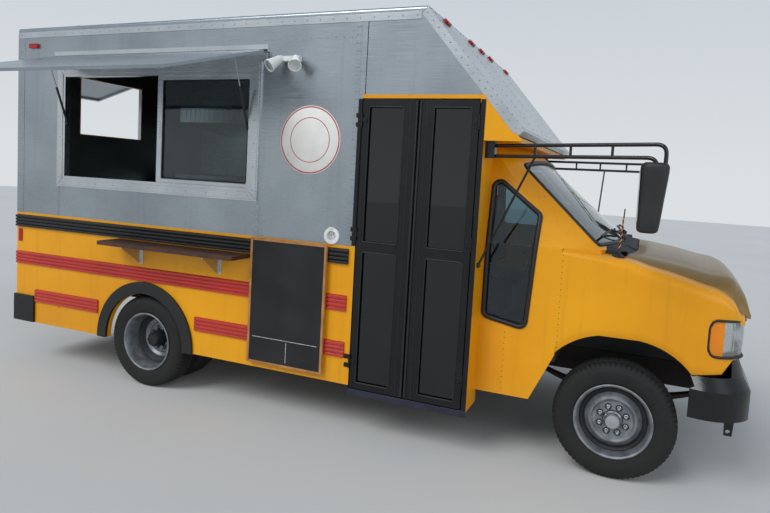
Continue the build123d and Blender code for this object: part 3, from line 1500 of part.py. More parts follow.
def leaf_spring(middle_x, y, width, half_len, eye_z, sag_z, thick):
    """A pack of leaves bowed between two eyes, seen from the side."""
    with BuildSketch(Plane.XZ.offset(-(y - width / 2))) as pack:
        with BuildLine():
            first = (middle_x - half_len, eye_z)
            last = (middle_x + half_len, eye_z)
            ThreePointArc(first, (middle_x, sag_z), last)
            Line(last, (last[0], eye_z + thick / 2))
            top_z = eye_z + thick / 2
            ThreePointArc((last[0], top_z), (middle_x, sag_z + thick), (first[0], top_z))
            Line((first[0], eye_z + thick / 2), first)
        make_face()
    extrude(pack.sketch, amount=-width)


SPRING_Y = 545
SPRING_W = 76
SPRING_HALF = 700
RAIL_OUT = RAIL_Y + RAIL_W / 2
FRONT_SPRING_HALF = 500
with BuildPart() as springs:
    for side in (1, -1):
        leaf_spring(REAR_AXLE_X, side * SPRING_Y, SPRING_W, SPRING_HALF, 560, AXLE_Z + 52, 60)
        for x in (REAR_AXLE_X - SPRING_HALF, REAR_AXLE_X + SPRING_HALF):
            block((x - 25, x + 25), (side * RAIL_OUT, side * (SPRING_Y + 38)), (560, 640))
        block(
            (REAR_AXLE_X - 60, REAR_AXLE_X + 60),
            (side * (SPRING_Y - 45), side * (SPRING_Y + 45)),
            (AXLE_Z + 45, AXLE_Z + 60),
        )
        leaf_spring(0, side * RAIL_Y, RAIL_W, FRONT_SPRING_HALF, 470, BEAM_TOP + 12, 40)
        for x in (-FRONT_SPRING_HALF, FRONT_SPRING_HALF):
            block((x - 25, x + 25), (side * (RAIL_Y - 31), side * RAIL_OUT), (470, RAIL_Z[0]))
        block((-50, 50), (side * (RAIL_Y - 38), side * (RAIL_Y + 38)), (BEAM_TOP, BEAM_TOP + 14))
keep(springs.part, "leaf_springs")


# Wheels
TYRE_PROFILE = (
    # depth under the tread and inset from the side wall, from bead to tread
    (TYRE_R - RIM_R, 18),
    (TYRE_R - RIM_R - 40, 6),
    (52, 0),
    (16, 12),
    (0, 34),
)


def tyre_at(x, y):
    """A tyre on its rim, turned about Y."""
    half = TYRE_W / 2
    with BuildSketch(Plane.XY.offset(0)) as section:
        with BuildLine():
            Polyline(
                *[(TYRE_R - deep, inset - half) for deep, inset in TYRE_PROFILE],
                *[(TYRE_R - deep, half - inset) for deep, inset in reversed(TYRE_PROFILE)],
                close=True,
            )
        make_face()
    ring = revolve(section.sketch, axis=Axis.Y, revolution_arc=360, mode=Mode.PRIVATE)
    return ring.moved(Location((x, y, AXLE_Z)))


def rim_at(x, y, side, disc):
    """A pressed steel rim with its disc at local y = disc from the wheel's centre, outward."""
    half = TYRE_W / 2 - 18
    with BuildSketch(Plane.XY) as section:
        with BuildLine():
            Polyline(
                (RIM_R - 0.3, -half),
                (RIM_R - 0.3, half),
                (RIM_R - 14, half),
                (RIM_R - 14, disc + 8),
                (110, disc + 26),
                (62, disc + 18),
                (62, disc + 8),
                (110, disc + 14),
                (RIM_R - 26, disc - 8),
                (RIM_R - 14, -half),
                close=True,
            )
        make_face()
    ring = revolve(section.sketch, axis=Axis.Y, revolution_arc=360, mode=Mode.PRIVATE)
    if side < 0:
        ring = ring.mirror(Plane.XZ)
    return ring.moved(Location((x, y, AXLE_Z)))


HUB_R = 64
REAR_HUB_R = 68
for name, side in (("right", -1), ("left", 1)):
    keep(tyre_at(0, side * FRONT_WHEEL_Y), f"front_tyre_{name}")
    with BuildPart() as rim:
        add(rim_at(0, side * FRONT_WHEEL_Y, side, 30))
        hub_y = (side * (STUB_END + RUN_GAP), side * (FRONT_WHEEL_Y + 106))
        rod((0, hub_y[0], AXLE_Z), (0, hub_y[1], AXLE_Z), HUB_R)
    keep(rim.part, f"front_rim_{name}")
    twin = TYRE_W + REAR_TWIN_GAP
    rear_inner_y = REAR_OUTER_Y - twin
    with BuildPart() as tyres:
        for y in (REAR_OUTER_Y, rear_inner_y):
            add(tyre_at(REAR_AXLE_X, side * y))
    keep(tyres.part, f"rear_tyres_{name}")
    with BuildPart() as rims:
        add(rim_at(REAR_AXLE_X, side * REAR_OUTER_Y, side, -60))
        add(rim_at(REAR_AXLE_X, side * rear_inner_y, -side, -60))
        hub_y = (side * (rear_inner_y + 26), side * (REAR_OUTER_Y + 40))
        rod((REAR_AXLE_X, hub_y[0], AXLE_Z), (REAR_AXLE_X, hub_y[1], AXLE_Z), REAR_HUB_R)
        tube_y = (side * (rear_inner_y + 25), side * (AXLE_TUBE_Y + RUN_GAP))
        rod(
            (REAR_AXLE_X, tube_y[0], AXLE_Z),
            (REAR_AXLE_X, tube_y[1], AXLE_Z),
            AXLE_TUBE_R + RUN_GAP,
            Mode.SUBTRACT,
        )
    keep(rims.part, f"rear_rims_{name}")

# Kitchen inside the body: a counter under the window, the cook line opposite
COUNTER_X = (-4700, -2100)
COUNTER_Y = (-SIDE_IN, -SIDE_IN + 560)
COUNTER_TOP = 1600
BOARD = 24
LINE_Y = (SIDE_IN - 700, SIDE_IN - BOARD - 1)
APPLIANCES = (
    # start x, end x, top z
    (-4700, -3890, 1690),
    (-3880, -3070, 1670),
    (-3060, -2560, 1700),
    (-2550, -2100, 1650),
)
with BuildPart() as counters:
    block(COUNTER_X, COUNTER_Y, (FLOOR_Z, COUNTER_TOP))
    block(
        (COUNTER_X[0] + BOARD, COUNTER_X[1] - BOARD),
        (COUNTER_Y[0] + BOARD, COUNTER_Y[1] + 1),
        (FLOOR_Z + 120, COUNTER_TOP - 40),
        Mode.SUBTRACT,
    )
    for start, end, top in APPLIANCES:
        block((start, end), LINE_Y, (FLOOR_Z + 110, top))
        for x in (start + 50, end - 50):
            for y in (LINE_Y[0] + 60, LINE_Y[1] - 60):
                rod((x, y, FLOOR_Z), (x, y, FLOOR_Z + 111), 20)
    block(COUNTER_X, (SIDE_IN - BOARD, SIDE_IN), (1500, 2146))
keep(counters.part, "kitchen_counters")

with BuildPart() as exhaust_hood:
    with BuildSketch(Plane.YZ.offset(-4600)):
        with BuildLine():
            Polyline(
                (SIDE_IN - 2, 2150),
                (SIDE_IN - 760, 2250),
                (SIDE_IN - 760, 2400),
                (SIDE_IN - 560, 2700),
                (SIDE_IN - 2, 2700),
                close=True,
            )
        make_face()
    extrude(amount=2400)
    with BuildSketch(Plane.YZ.offset(-4570)):
        with BuildLine():
            Polyline(
                (SIDE_IN - 40, 2100),
                (SIDE_IN - 730, 2200),
                (SIDE_IN - 730, 2390),
                (SIDE_IN - 540, 2670),
                (SIDE_IN - 40, 2670),
                close=True,
            )
        make_face()
    extrude(amount=2340, mode=Mode.SUBTRACT)
    rod((DUCT_X, DUCT_Y, 2690), (DUCT_X, DUCT_Y, ROOF_Z + 70), DUCT_R)
    rod((DUCT_X, DUCT_Y, ROOF_Z + 70), (DUCT_X, DUCT_Y, ROOF_Z + 90), DUCT_R + 70)
    rod((DUCT_X, DUCT_Y, 2660), (DUCT_X, DUCT_Y, ROOF_Z + 60), DUCT_R - SHEET, Mode.SUBTRACT)
keep(exhaust_hood.part, "exhaust_hood")
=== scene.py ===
import math

import bmesh
import bpy
from mathutils import Matrix, Vector


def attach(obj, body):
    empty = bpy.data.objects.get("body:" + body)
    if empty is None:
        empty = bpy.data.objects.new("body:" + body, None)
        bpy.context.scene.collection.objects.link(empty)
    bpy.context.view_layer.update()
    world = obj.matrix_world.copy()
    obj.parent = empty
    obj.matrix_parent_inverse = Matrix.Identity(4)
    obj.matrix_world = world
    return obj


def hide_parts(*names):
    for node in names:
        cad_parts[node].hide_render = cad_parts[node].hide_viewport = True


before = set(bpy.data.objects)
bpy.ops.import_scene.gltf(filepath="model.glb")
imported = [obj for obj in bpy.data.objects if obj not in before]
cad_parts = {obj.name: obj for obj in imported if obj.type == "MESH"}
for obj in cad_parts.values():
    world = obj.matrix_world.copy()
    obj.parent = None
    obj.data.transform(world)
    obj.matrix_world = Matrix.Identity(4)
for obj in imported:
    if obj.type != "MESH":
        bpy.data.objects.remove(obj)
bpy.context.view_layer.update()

scene = bpy.context.scene

# Places on the truck, in metres, as the CAD has them
SIDE = 1.200
LINED = 1.162
REAR = -4.975
BELT = 1.305
ROOF = 2.875
RIDGE = (-1.278, 2.875)
SLOPE_FOOT = (-0.621, 2.103)
SLOPE_OUT = Vector((0.7616, 0, 0.6481))
CAB_BACK_LEFT = -1.250
WINDOW = ((-4.410, -2.567), (1.635, 2.469))
HATCH_X = (-4.500, -2.455)
HATCH_PIN = (-1.230, 2.600)
FLAP = ((-0.590, 0.180), (2.030, 2.560))
DROOP = math.radians(16)
WHEEL_Z = 0.366
FRONT_WHEEL = (0.0, 0.882)
REAR_WHEELS = (-3.505, 1.084, 0.798)
CAB_HALF = 1.007
WING_REAR_X = -0.372
# Where rivets sit on a seam strip, off the wall's face
ON_STRIP = 0.002
SIDES = (("right", -1), ("left", 1))


# The camera, fitted to the photograph
def place_camera():
    """A camera at the photograph's viewpoint, with its lens and its shift."""
    width, height = 770, 513
    focal, middle = 621.6, (382.2, 225.4)
    place = (0.075, -4.969, 1.786)
    yaw, pitch, roll = (math.radians(a) for a in (-22.753, -4.501, 3.176))
    forward = Vector((math.sin(yaw) * math.cos(pitch), math.cos(yaw) * math.cos(pitch), math.sin(pitch)))
    level = Vector((math.cos(yaw), -math.sin(yaw), 0))
    above = level.cross(forward)
    right = level * math.cos(roll) + above * math.sin(roll)
    up = above * math.cos(roll) - level * math.sin(roll)
    data = bpy.data.cameras.new("camera")
    data.sensor_width = 36
    data.lens = focal * data.sensor_width / width
    data.shift_x = (width / 2 - middle[0]) / width
    data.shift_y = (middle[1] - height / 2) / width
    camera = bpy.data.objects.new("camera", data)
    scene.collection.objects.link(camera)
    turn = Matrix((right, up, -forward)).transposed()
    camera.matrix_world = Matrix.Translation(place) @ turn.to_4x4()
    scene.camera = camera


place_camera()


# Materials
def srgb(code):
    """Linear colour, with alpha, from an sRGB hex value."""
    parts = [int(code[i:i + 2], 16) / 255 for i in (0, 2, 4)]
    return tuple(c / 12.92 if c <= 0.04045 else ((c + 0.055) / 1.055) ** 2.4 for c in parts) + (1.0,)


def add_node(tree, kind, inputs=(), **settings):
    """Add a node, set its own settings, and set or link its inputs."""
    made = tree.nodes.new(kind)
    for name, value in settings.items():
        setattr(made, name, value)
    for name, value in dict(inputs).items():
        if isinstance(value, bpy.types.NodeSocket):
            tree.links.new(value, made.inputs[name])
        else:
            made.inputs[name].default_value = value
    return made


def finish(name, tones, roughness, metallic=0.0, patch=400, grain=(4, 4, 4), relief=0.02, film=None,
           streak=None, chips=None, shader=()):
    """A material of two close tones in soft patches, with a fine grain that also lifts the surface.
    patch and grain are in mm, relief is the grain's height in mm. film is (colour, top z in m, share)
    for dust that thickens towards the ground. streak is (colour, share) for runs of dirt down a face.
    chips is (colour, size in mm, share) for small spots where the coat has gone."""
    material = bpy.data.materials.new(name)
    material.use_nodes = True
    tree = material.node_tree
    tree.nodes.clear()
    place = add_node(tree, "ShaderNodeTexCoord").outputs["Object"]
    patches = add_node(tree, "ShaderNodeTexNoise", {"Vector": place, "Scale": 1000 / patch, "Detail": 4.0})
    stretched = add_node(tree, "ShaderNodeMapping", {"Vector": place, "Scale": [1000 / g for g in grain]})
    fine = add_node(tree, "ShaderNodeTexNoise", {"Vector": stretched.outputs[0], "Scale": 1.0, "Detail": 3.0})
    spread = add_node(tree, "ShaderNodeMapRange", {
        "Value": patches.outputs[0], "From Min": 0.35, "From Max": 0.65})
    colour = add_node(tree, "ShaderNodeMix", {
        0: spread.outputs[0], 6: srgb(tones[0]), 7: srgb(tones[1])}, data_type="RGBA").outputs[2]
    rough = add_node(tree, "ShaderNodeMapRange", {
        "Value": fine.outputs[0], "From Min": 0.3, "From Max": 0.7,
        "To Min": roughness[0], "To Max": roughness[1]}).outputs[0]
    if streak:
        runs = add_node(tree, "ShaderNodeMapping", {"Vector": place, "Scale": (22, 22, 1.3)})
        dirt = add_node(tree, "ShaderNodeTexNoise", {"Vector": runs.outputs[0], "Scale": 1.0, "Detail": 5.0})
        share = add_node(tree, "ShaderNodeMapRange", {
            "Value": dirt.outputs[0], "From Min": 0.55, "From Max": 0.8, "To Max": streak[1]})
        colour = add_node(tree, "ShaderNodeMix", {
            0: share.outputs[0], 6: colour, 7: srgb(streak[0])}, data_type="RGBA").outputs[2]
    if chips:
        spots = add_node(tree, "ShaderNodeTexNoise", {
            "Vector": place, "Scale": 1000 / chips[1], "Detail": 6.0})
        worn = add_node(tree, "ShaderNodeMath", {0: spots.outputs[0], 1: patches.outputs[0]}, operation="ADD")
        share = add_node(tree, "ShaderNodeMapRange", {
            "Value": worn.outputs[0], "From Min": 1.34, "From Max": 1.37, "To Max": chips[2]})
        colour = add_node(tree, "ShaderNodeMix", {
            0: share.outputs[0], 6: colour, 7: srgb(chips[0])}, data_type="RGBA").outputs[2]
    if film:
        height = add_node(tree, "ShaderNodeSeparateXYZ", {"Vector": place}).outputs["Z"]
        low = add_node(tree, "ShaderNodeMapRange", {
            "Value": height, "From Min": film[1], "From Max": 0.0, "To Max": 2 * film[2]})
        dusty = add_node(tree, "ShaderNodeMath", {
            0: low.outputs[0], 1: patches.outputs[0]}, operation="MULTIPLY", use_clamp=True)
        colour = add_node(tree, "ShaderNodeMix", {
            0: dusty.outputs[0], 6: colour, 7: srgb(film[0])}, data_type="RGBA").outputs[2]
        rough = add_node(tree, "ShaderNodeMath", {0: rough, 1: dusty.outputs[0]}, operation="ADD",
                         use_clamp=True).outputs[0]
    bump = add_node(tree, "ShaderNodeBump", {"Height": fine.outputs[0], "Distance": relief / 1000})
    bsdf = add_node(tree, "ShaderNodeBsdfPrincipled", {
        "Base Color": colour, "Roughness": rough, "Metallic": metallic, "Normal": bump.outputs[0],
        **dict(shader)})
    add_node(tree, "ShaderNodeOutputMaterial", {"Surface": bsdf.outputs[0]})
    return material


# Bus-yellow enamel, sprayed over steel sheet: a wet gloss with slight orange peel, dusty low down,
# with a few rust spots where stones have chipped it
yellow_enamel = finish("yellow_enamel", ("ECA407", "DE9403"), (0.26, 0.36), patch=900, grain=(7, 7, 7),
                       relief=0.03, film=("8C6E3C", 0.60, 0.22), streak=("B0720C", 0.26),
                       chips=("6E3A1A", 22, 0.8), shader={"IOR": 1.42})
# Hood enamel: the same paint, browned and dulled by the sun
hood_enamel = finish("hood_enamel", ("7E642E", "6A5227"), (0.30, 0.42), patch=420, grain=(7, 7, 7),
                     relief=0.02, shader={"Coat Weight": 0.15, "Coat Roughness": 0.06, "IOR": 1.45})
# Mill-finish aluminium sheet: drawn lines along the truck, dull patches of oxide
sheet_aluminium = finish("sheet_aluminium", ("A9B0B5", "959CA2"), (0.22, 0.38), metallic=1.0, patch=800,
                         grain=(260, 3, 3), relief=0.02, streak=("7A8287", 0.25))
# Clear-anodised extrusions round the window and along the roof's edges
bright_aluminium = finish("bright_aluminium", ("C8CCCF", "BABEC2"), (0.22, 0.34), metallic=1.0, patch=300,
                          grain=(160, 3, 3), relief=0.01)
# Brushed stainless steel in the kitchen
brushed_stainless = finish("brushed_stainless", ("B4B5B4", "A2A4A4"), (0.24, 0.38), metallic=1.0, patch=300,
                           grain=(120, 2, 2), relief=0.02)
# Zinc-plated rivets and screws
zinc_plate = finish("zinc_plate", ("9A9FA2", "858A8D"), (0.35, 0.5), metallic=1.0, patch=60, relief=0.05)
# Red enamel on rolled rails
red_enamel = finish("red_enamel", ("BE2A1E", "A92117"), (0.28, 0.4), patch=500, grain=(6, 6, 6), relief=0.03,
                    film=("8C6E3C", 0.75, 0.25), shader={"Coat Weight": 0.4, "Coat Roughness": 0.1})
# EPDM rubber: gaskets, rub rail and arch flares, greyed by weather
epdm_rubber = finish("epdm_rubber", ("0D0D0E", "161617"), (0.42, 0.58), patch=160, grain=(2, 2, 2),
                     relief=0.05, film=("5E584A", 0.5, 0.12), shader={"IOR": 1.5})
# Gloss black enamel on bumpers and mirror arms
black_enamel = finish("black_enamel", ("030304", "070708"), (0.20, 0.30), patch=250, grain=(5, 5, 5),
                      relief=0.03, film=("4E4A40", 0.4, 0.04))
# Chassis paint over hot-rolled steel: flat black with rust bloom
chassis_paint = finish("chassis_paint", ("151413", "2C1F18"), (0.65, 0.85), patch=90, grain=(5, 5, 5),
                       relief=0.2)
# Painted steel disc wheel: silver-grey, dulled by brake dust
wheel_paint = finish("wheel_paint", ("8C9094", "696D72"), (0.34, 0.5), metallic=0.5, patch=70,
                     grain=(4, 4, 4), relief=0.06, streak=("3B3833", 0.5))
# Painted shade: a dark colour laid over the wheel's deep well and lug pockets, where shade falls; it also
# colours the rear wheels' hub and its bolts
wheel_shade_and_hub = finish("wheel_shade_and_hub", ("23262B", "16171A"), (0.5, 0.7), metallic=0.2, patch=50, grain=(3, 3, 3),
                    relief=0.1)
# Tyre rubber: matt black, a little brown on the shoulders
tyre_rubber = finish("tyre_rubber", ("0A0A0B", "121211"), (0.66, 0.84), patch=120, grain=(3, 3, 3),
                     relief=0.12, film=("3E3B35", 0.8, 0.08), shader={"IOR": 1.5})
# Black anodised door extrusions
black_anodised = finish("black_anodised", ("0D0E10", "15161A"), (0.24, 0.36), metallic=0.3, patch=200,
                        grain=(2, 2, 60), relief=0.02)
# Pine stained dark, with open grain along the shelf
stained_pine = finish("stained_pine", ("4E2A1A", "381E14"), (0.4, 0.6), patch=120, grain=(90, 5, 5),
                      relief=0.3)
# Plain pine of the board's frame and the shelf's brackets
pale_pine = finish("pale_pine", ("B9834E", "9C6A3C"), (0.5, 0.7), patch=90, grain=(5, 5, 70), relief=0.2)
# Slate paint with chalk dust rubbed into it
chalkboard = finish("chalkboard", ("101012", "1E1E21"), (0.7, 0.85), patch=260, grain=(3, 3, 3), relief=0.03)
# Chalk: dry white powder in a broken line
chalk = finish("chalk", ("CFCFCB", "9A9A98"), (0.85, 0.95), patch=12, grain=(2, 2, 2), relief=0.1)
# White ABS, moulded: an even satin skin
white_abs = finish("white_abs", ("E6E7E6", "D8DAD8"), (0.3, 0.42), patch=120, relief=0.02,
                   shader={"IOR": 1.53})
# Vinyl sheet for the plain sign
white_vinyl = finish("white_vinyl", ("E4E3DF", "D9D8D2"), (0.35, 0.5), patch=150, relief=0.01)
red_vinyl = finish("red_vinyl", ("B5302B", "A92A26"), (0.35, 0.5), patch=150, relief=0.01)
# Moulded plastic: black for the cowl and the wiper blades, grey for the dash
black_plastic = finish("black_plastic", ("141517", "1C1D1F"), (0.45, 0.6), patch=120, grain=(2, 2, 2),
                       relief=0.06, shader={"IOR": 1.5})
grey_plastic = finish("grey_plastic", ("4A4B4D", "414244"), (0.5, 0.65), patch=120, grain=(2, 2, 2),
                      relief=0.06, shader={"IOR": 1.5})
# Sill extrusion under the door: dark blue-black paint, scuffed
scuffed_sill = finish("scuffed_sill", ("191B2C", "23263A"), (0.3, 0.5), patch=120, grain=(40, 4, 4),
                      relief=0.06, chips=("8E9094", 18, 0.7))
# Ribbed rubber mat on the floors
floor_mat = finish("floor_mat", ("2A2A2A", "343331"), (0.7, 0.85), patch=140, grain=(12, 200, 12), relief=0.5)
# Leather-grain vinyl on the seat
seat_vinyl = finish("seat_vinyl", ("232326", "2C2C30"), (0.42, 0.58), patch=140, grain=(3, 3, 3), relief=0.12)
# Chromed reflectors and trim
bright_chrome = finish("bright_chrome", ("E2E4E6", "D6D9DB"), (0.05, 0.12), metallic=1.0, patch=200,
                       relief=0.0)
# Silvered mirror glass
mirror_glass = finish("mirror_glass", ("DADDDD", "D2D6D6"), (0.01, 0.03), metallic=1.0, relief=0.0)
# Old steel of the exhaust
exhaust_steel = finish("exhaust_steel", ("5A4A3E", "3F342C"), (0.55, 0.75), metallic=0.7, patch=60,
                       relief=0.15)
# Seasoned iron of the griddle and the grates
black_iron = finish("black_iron", ("1B1A19", "26221F"), (0.4, 0.6), metallic=0.6, patch=70,
                    grain=(4, 4, 4), relief=0.1)


def clear_finish(name, tone, roughness, ior, weight=1.0, density=60):
    """Glass or a moulded lens: light passes through, and a fine waviness breaks up what it mirrors."""
    material = bpy.data.materials.new(name)
    material.use_nodes = True
    tree = material.node_tree
    tree.nodes.clear()
    place = add_node(tree, "ShaderNodeTexCoord").outputs["Object"]
    wave = add_node(tree, "ShaderNodeTexNoise", {"Vector": place, "Scale": density, "Detail": 1.0})
    smear = add_node(tree, "ShaderNodeMapRange", {
        "Value": wave.outputs[0], "To Min": roughness[0], "To Max": roughness[1]})
    bump = add_node(tree, "ShaderNodeBump", {"Height": wave.outputs[0], "Distance": 0.00003})
    bsdf = add_node(tree, "ShaderNodeBsdfPrincipled", {
        "Base Color": srgb(tone), "Roughness": smear.outputs[0], "IOR": ior,
        "Transmission Weight": weight, "Normal": bump.outputs[0]})
    add_node(tree, "ShaderNodeOutputMaterial", {"Surface": bsdf.outputs[0]})
    return material


# Laminated windshield glass with a green cast
cab_glass = clear_finish("cab_glass", "93ABB0", (0.0, 0.02), 1.52, density=2)
# Tempered glass under a dark metallised film, which mirrors more than bare glass
tinted_glass = clear_finish("tinted_glass", "0C1013", (0.0, 0.02), 1.58, weight=0.8, density=2)
# Acrylic lenses
red_lens = clear_finish("red_lens", "C01410", (0.05, 0.12), 1.49, 0.3, 90)
amber_lens = clear_finish("amber_lens", "FF9A10", (0.05, 0.12), 1.49, 0.35, 90)
clear_lens = clear_finish("clear_lens", "F4F6F5", (0.02, 0.08), 1.49, 0.92, 120)


# Shapes. Each gives a list of points and a list of faces.
def box(x, y, z):
    """A block between two values on each axis."""
    points = [(a, b, c) for a in x for b in y for c in z]
    return points, [(0, 1, 3, 2), (4, 6, 7, 5), (0, 4, 5, 1), (2, 3, 7, 6), (0, 2, 6, 4), (1, 5, 7, 3)]


def slab(outline, depth):
    """A closed outline of points, given thickness along a vector."""
    count = len(outline)
    depth = Vector(depth)
    points = [Vector(p) for p in outline] + [Vector(p) + depth for p in outline]
    faces = [tuple(range(count)), tuple(range(2 * count - 1, count - 1, -1))]
    faces += [(i, (i + 1) % count, count + (i + 1) % count, count + i) for i in range(count)]
    return points, faces


def grid(rows, closed=False):
    """A skin through rows of points. closed joins each row's last point to its first."""
    wide = len(rows[0])
    points = [p for row in rows for p in row]
    faces = []
    for r in range(len(rows) - 1):
        for c in range(wide if closed else wide - 1):
            d = (c + 1) % wide
            faces.append((r * wide + c, r * wide + d, (r + 1) * wide + d, (r + 1) * wide + c))
    return points, faces


def side_axes(along):
    """Two directions across a line."""
    along = Vector(along).normalized()
    helper = Vector((0, 0, 1)) if abs(along.z) < 0.9 else Vector((1, 0, 0))
    first = along.cross(helper).normalized()
    return first, along.cross(first).normalized()


def tube(path, radius, sides=12, closed=False):
    """A round bar along a path."""
    path = [Vector(p) for p in path]
    count = len(path)
    rings = []
    first = None
    for i, at in enumerate(path):
        before = path[i - 1] if i or closed else at
        after = path[(i + 1) % count] if i < count - 1 or closed else at
        along = (after - before).normalized()
        if first is None:
            first = side_axes(along)[0]
        first = (first - along * first.dot(along)).normalized()
        second = along.cross(first)
        rings.append([
            at + (first * math.cos(a) + second * math.sin(a)) * radius
            for a in (2 * math.pi * k / sides for k in range(sides))])
    if closed:
        points, faces = grid(rings + [rings[0]], True)
        total = count * sides
        return points[:total], [tuple(i % total for i in f) for f in faces]
    points, faces = grid(rings, True)
    last = (count - 1) * sides
    faces += [tuple(range(sides)), tuple(range(last + sides - 1, last - 1, -1))]
    return points, faces


# A turned profile ends at this radius where it meets its axis
TIP = 0.0001


def lathe(profile, centre, axis, steps=48, wobble=None):
    """A profile of (radius, distance along the axis) turned round it. wobble(ring, step) lowers a
    point's radius."""
    axis = Vector(axis).normalized()
    first, second = side_axes(axis)
    centre = Vector(centre)
    rows = []
    for r, (radius, along) in enumerate(profile):
        row = []
        for s in range(steps):
            a = 2 * math.pi * s / steps
            size = radius - (wobble(r, s) if wobble else 0)
            row.append(centre + axis * along + (first * math.cos(a) + second * math.sin(a)) * size)
        rows.append(row)
    return grid(rows, True)


def dome(at, normal, radius, height, sides=8):
    """A rivet's or screw's head."""
    return lathe([(radius, 0), (radius * 0.75, height * 0.7), (TIP, height)], at, normal, sides)


def rounded(corners, radius, steps=5):
    """A closed outline in a plane, its corners rounded. Corners are vectors."""
    corners = [Vector(c) for c in corners]
    count = len(corners)
    sizes = radius if isinstance(radius, (list, tuple)) else [radius] * count
    line = []
    for i, at in enumerate(corners):
        back = (corners[i - 1] - at).normalized()
        ahead = (corners[(i + 1) % count] - at).normalized()
        half = math.acos(max(-1, min(1, back.dot(ahead)))) / 2
        reach = sizes[i] / math.tan(half)
        centre = at + (back + ahead).normalized() * (sizes[i] / math.sin(half))
        start, end = at + back * reach - centre, at + ahead * reach - centre
        opening = math.pi - 2 * half
        for k in range(steps + 1):
            share = k / steps
            arm = start * math.sin((1 - share) * opening) + end * math.sin(share * opening)
            line.append(centre + arm / math.sin(opening))
    return line


def divided(line, pitch):
    """A closed line with points added so that none is further than pitch from the next."""
    result = []
    for a, b in zip(line, line[1:] + line[:1]):
        steps = max(1, int((b - a).length / pitch))
        result += [a + (b - a) * (k / steps) for k in range(steps)]
    return result


def smooth_rows(rows, steps):
    """Rows of numbers with more between them, on a curve through all of them."""
    result = []
    for i in range(len(rows) - 1):
        a, b, c, d = rows[max(i - 1, 0)], rows[i], rows[i + 1], rows[min(i + 2, len(rows) - 1)]
        for k in range(steps):
            t = k / steps
            result.append([
                0.5 * (2 * q + (r - p) * t + (2 * p - 5 * q + 4 * r - s) * t ** 2
                       + (3 * q - p - 3 * r + s) * t ** 3)
                for p, q, r, s in zip(a, b, c, d)])
    return result + [list(rows[-1])]


def arc_points(a, via, b, steps):
    """Points in a plane along the arc from a through via to b."""
    (ax, ay), (mx, my), (bx, by) = a, via, b
    cross = 2 * (ax * (my - by) + mx * (by - ay) + bx * (ay - my))
    qa, qm, qb = ax * ax + ay * ay, mx * mx + my * my, bx * bx + by * by
    cx = (qa * (my - by) + qm * (by - ay) + qb * (ay - my)) / cross
    cy = (qa * (bx - mx) + qm * (ax - bx) + qb * (mx - ax)) / cross
    start = math.atan2(ay - cy, ax - cx)
    sweep = (math.atan2(by - cy, bx - cx) - start) % (2 * math.pi)
    if (math.atan2(my - cy, mx - cx) - start) % (2 * math.pi) > sweep:
        sweep -= 2 * math.pi
    radius = math.hypot(ax - cx, ay - cy)
    turns = [start + sweep * k / steps for k in range(steps + 1)]
    return [(cx + radius * math.cos(t), cy + radius * math.sin(t)) for t in turns]


def between(table, x):
    """The values at x in a table of rows whose first number rises."""
    if x <= table[0][0]:
        return list(table[0][1:])
    for low, high in zip(table, table[1:]):
        if low[0] <= x <= high[0]:
            share = (x - low[0]) / (high[0] - low[0]) if high[0] > low[0] else 0
            return [p + (q - p) * share for p, q in zip(low[1:], high[1:])]
    return list(table[-1][1:])


def cushion(middle, length_dir, width_dir, half, pinch, channels=(), taper=0.0, steps=26):
    """A stuffed pad: crowned on both faces, its sides pulled in between its corners, with sewn channels
    across its length. half is its half length, width and thickness."""
    middle, u_dir, v_dir = Vector(middle), Vector(length_dir).normalized(), Vector(width_dir).normalized()
    n_dir = u_dir.cross(v_dir)
    shapes = []
    for face in (1, -1):
        rows = []
        for i in range(steps + 1):
            u = math.sin(math.pi / 2 * (2 * i / steps - 1))
            row = []
            for j in range(steps + 1):
                v = math.sin(math.pi / 2 * (2 * j / steps - 1))
                lift = max(0.0, 1 - u ** 4) ** 0.3 * max(0.0, 1 - v ** 4) ** 0.3
                lift *= 1 - taper * (u + 1) / 2
                for at in channels:
                    lift *= 1 - 0.22 * math.exp(-((u - at) / 0.035) ** 2)
                across = u * half[0] * (1 - pinch * (1 - v * v))
                beside = v * half[1] * (1 - pinch * (1 - u * u))
                row.append(middle + u_dir * across + v_dir * beside + n_dir * (face * lift * half[2]))
            rows.append(row)
        shapes.append(grid(rows))
    return shapes


def piece(name, body, material, shapes, bevel=0.0, sharp=35, stands_for=()):
    """A finished piece from shapes. bevel rounds its edges, in metres, and without it sharp is the bend,
    in degrees, from which an edge shades as a crease."""
    points, faces = [], []
    for shape_points, shape_faces in shapes:
        start = len(points)
        points += [tuple(p) for p in shape_points]
        faces += [tuple(i + start for i in f) for f in shape_faces]
    mesh = bpy.data.meshes.new(name)
    mesh.from_pydata(points, [], faces)
    shell = bmesh.new()
    shell.from_mesh(mesh)
    bmesh.ops.remove_doubles(shell, verts=shell.verts, dist=1e-6)
    bmesh.ops.recalc_face_normals(shell, faces=shell.faces)
    shell.to_mesh(mesh)
    shell.free()
    made = bpy.data.objects.new(name, mesh)
    scene.collection.objects.link(made)
    mesh.materials.append(material)
    mesh.polygons.foreach_set("use_smooth", [True] * len(mesh.polygons))
    if bevel:
        round_edges(made, bevel)
    else:
        mesh.set_sharp_from_angle(angle=math.radians(sharp))
    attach(made, body)
    if stands_for:
        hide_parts(*stands_for)
    return made


def round_edges(made, width, bend=32):
    """Edges that bend by more than an angle, rounded at their real size, with shading that keeps the
    faces flat."""
    edge = made.modifiers.new("edges", "BEVEL")
    edge.width = width
    edge.segments = 2
    edge.limit_method = "ANGLE"
    edge.angle_limit = math.radians(bend)
    made.modifiers.new("shading", "WEIGHTED_NORMAL").weight = 80


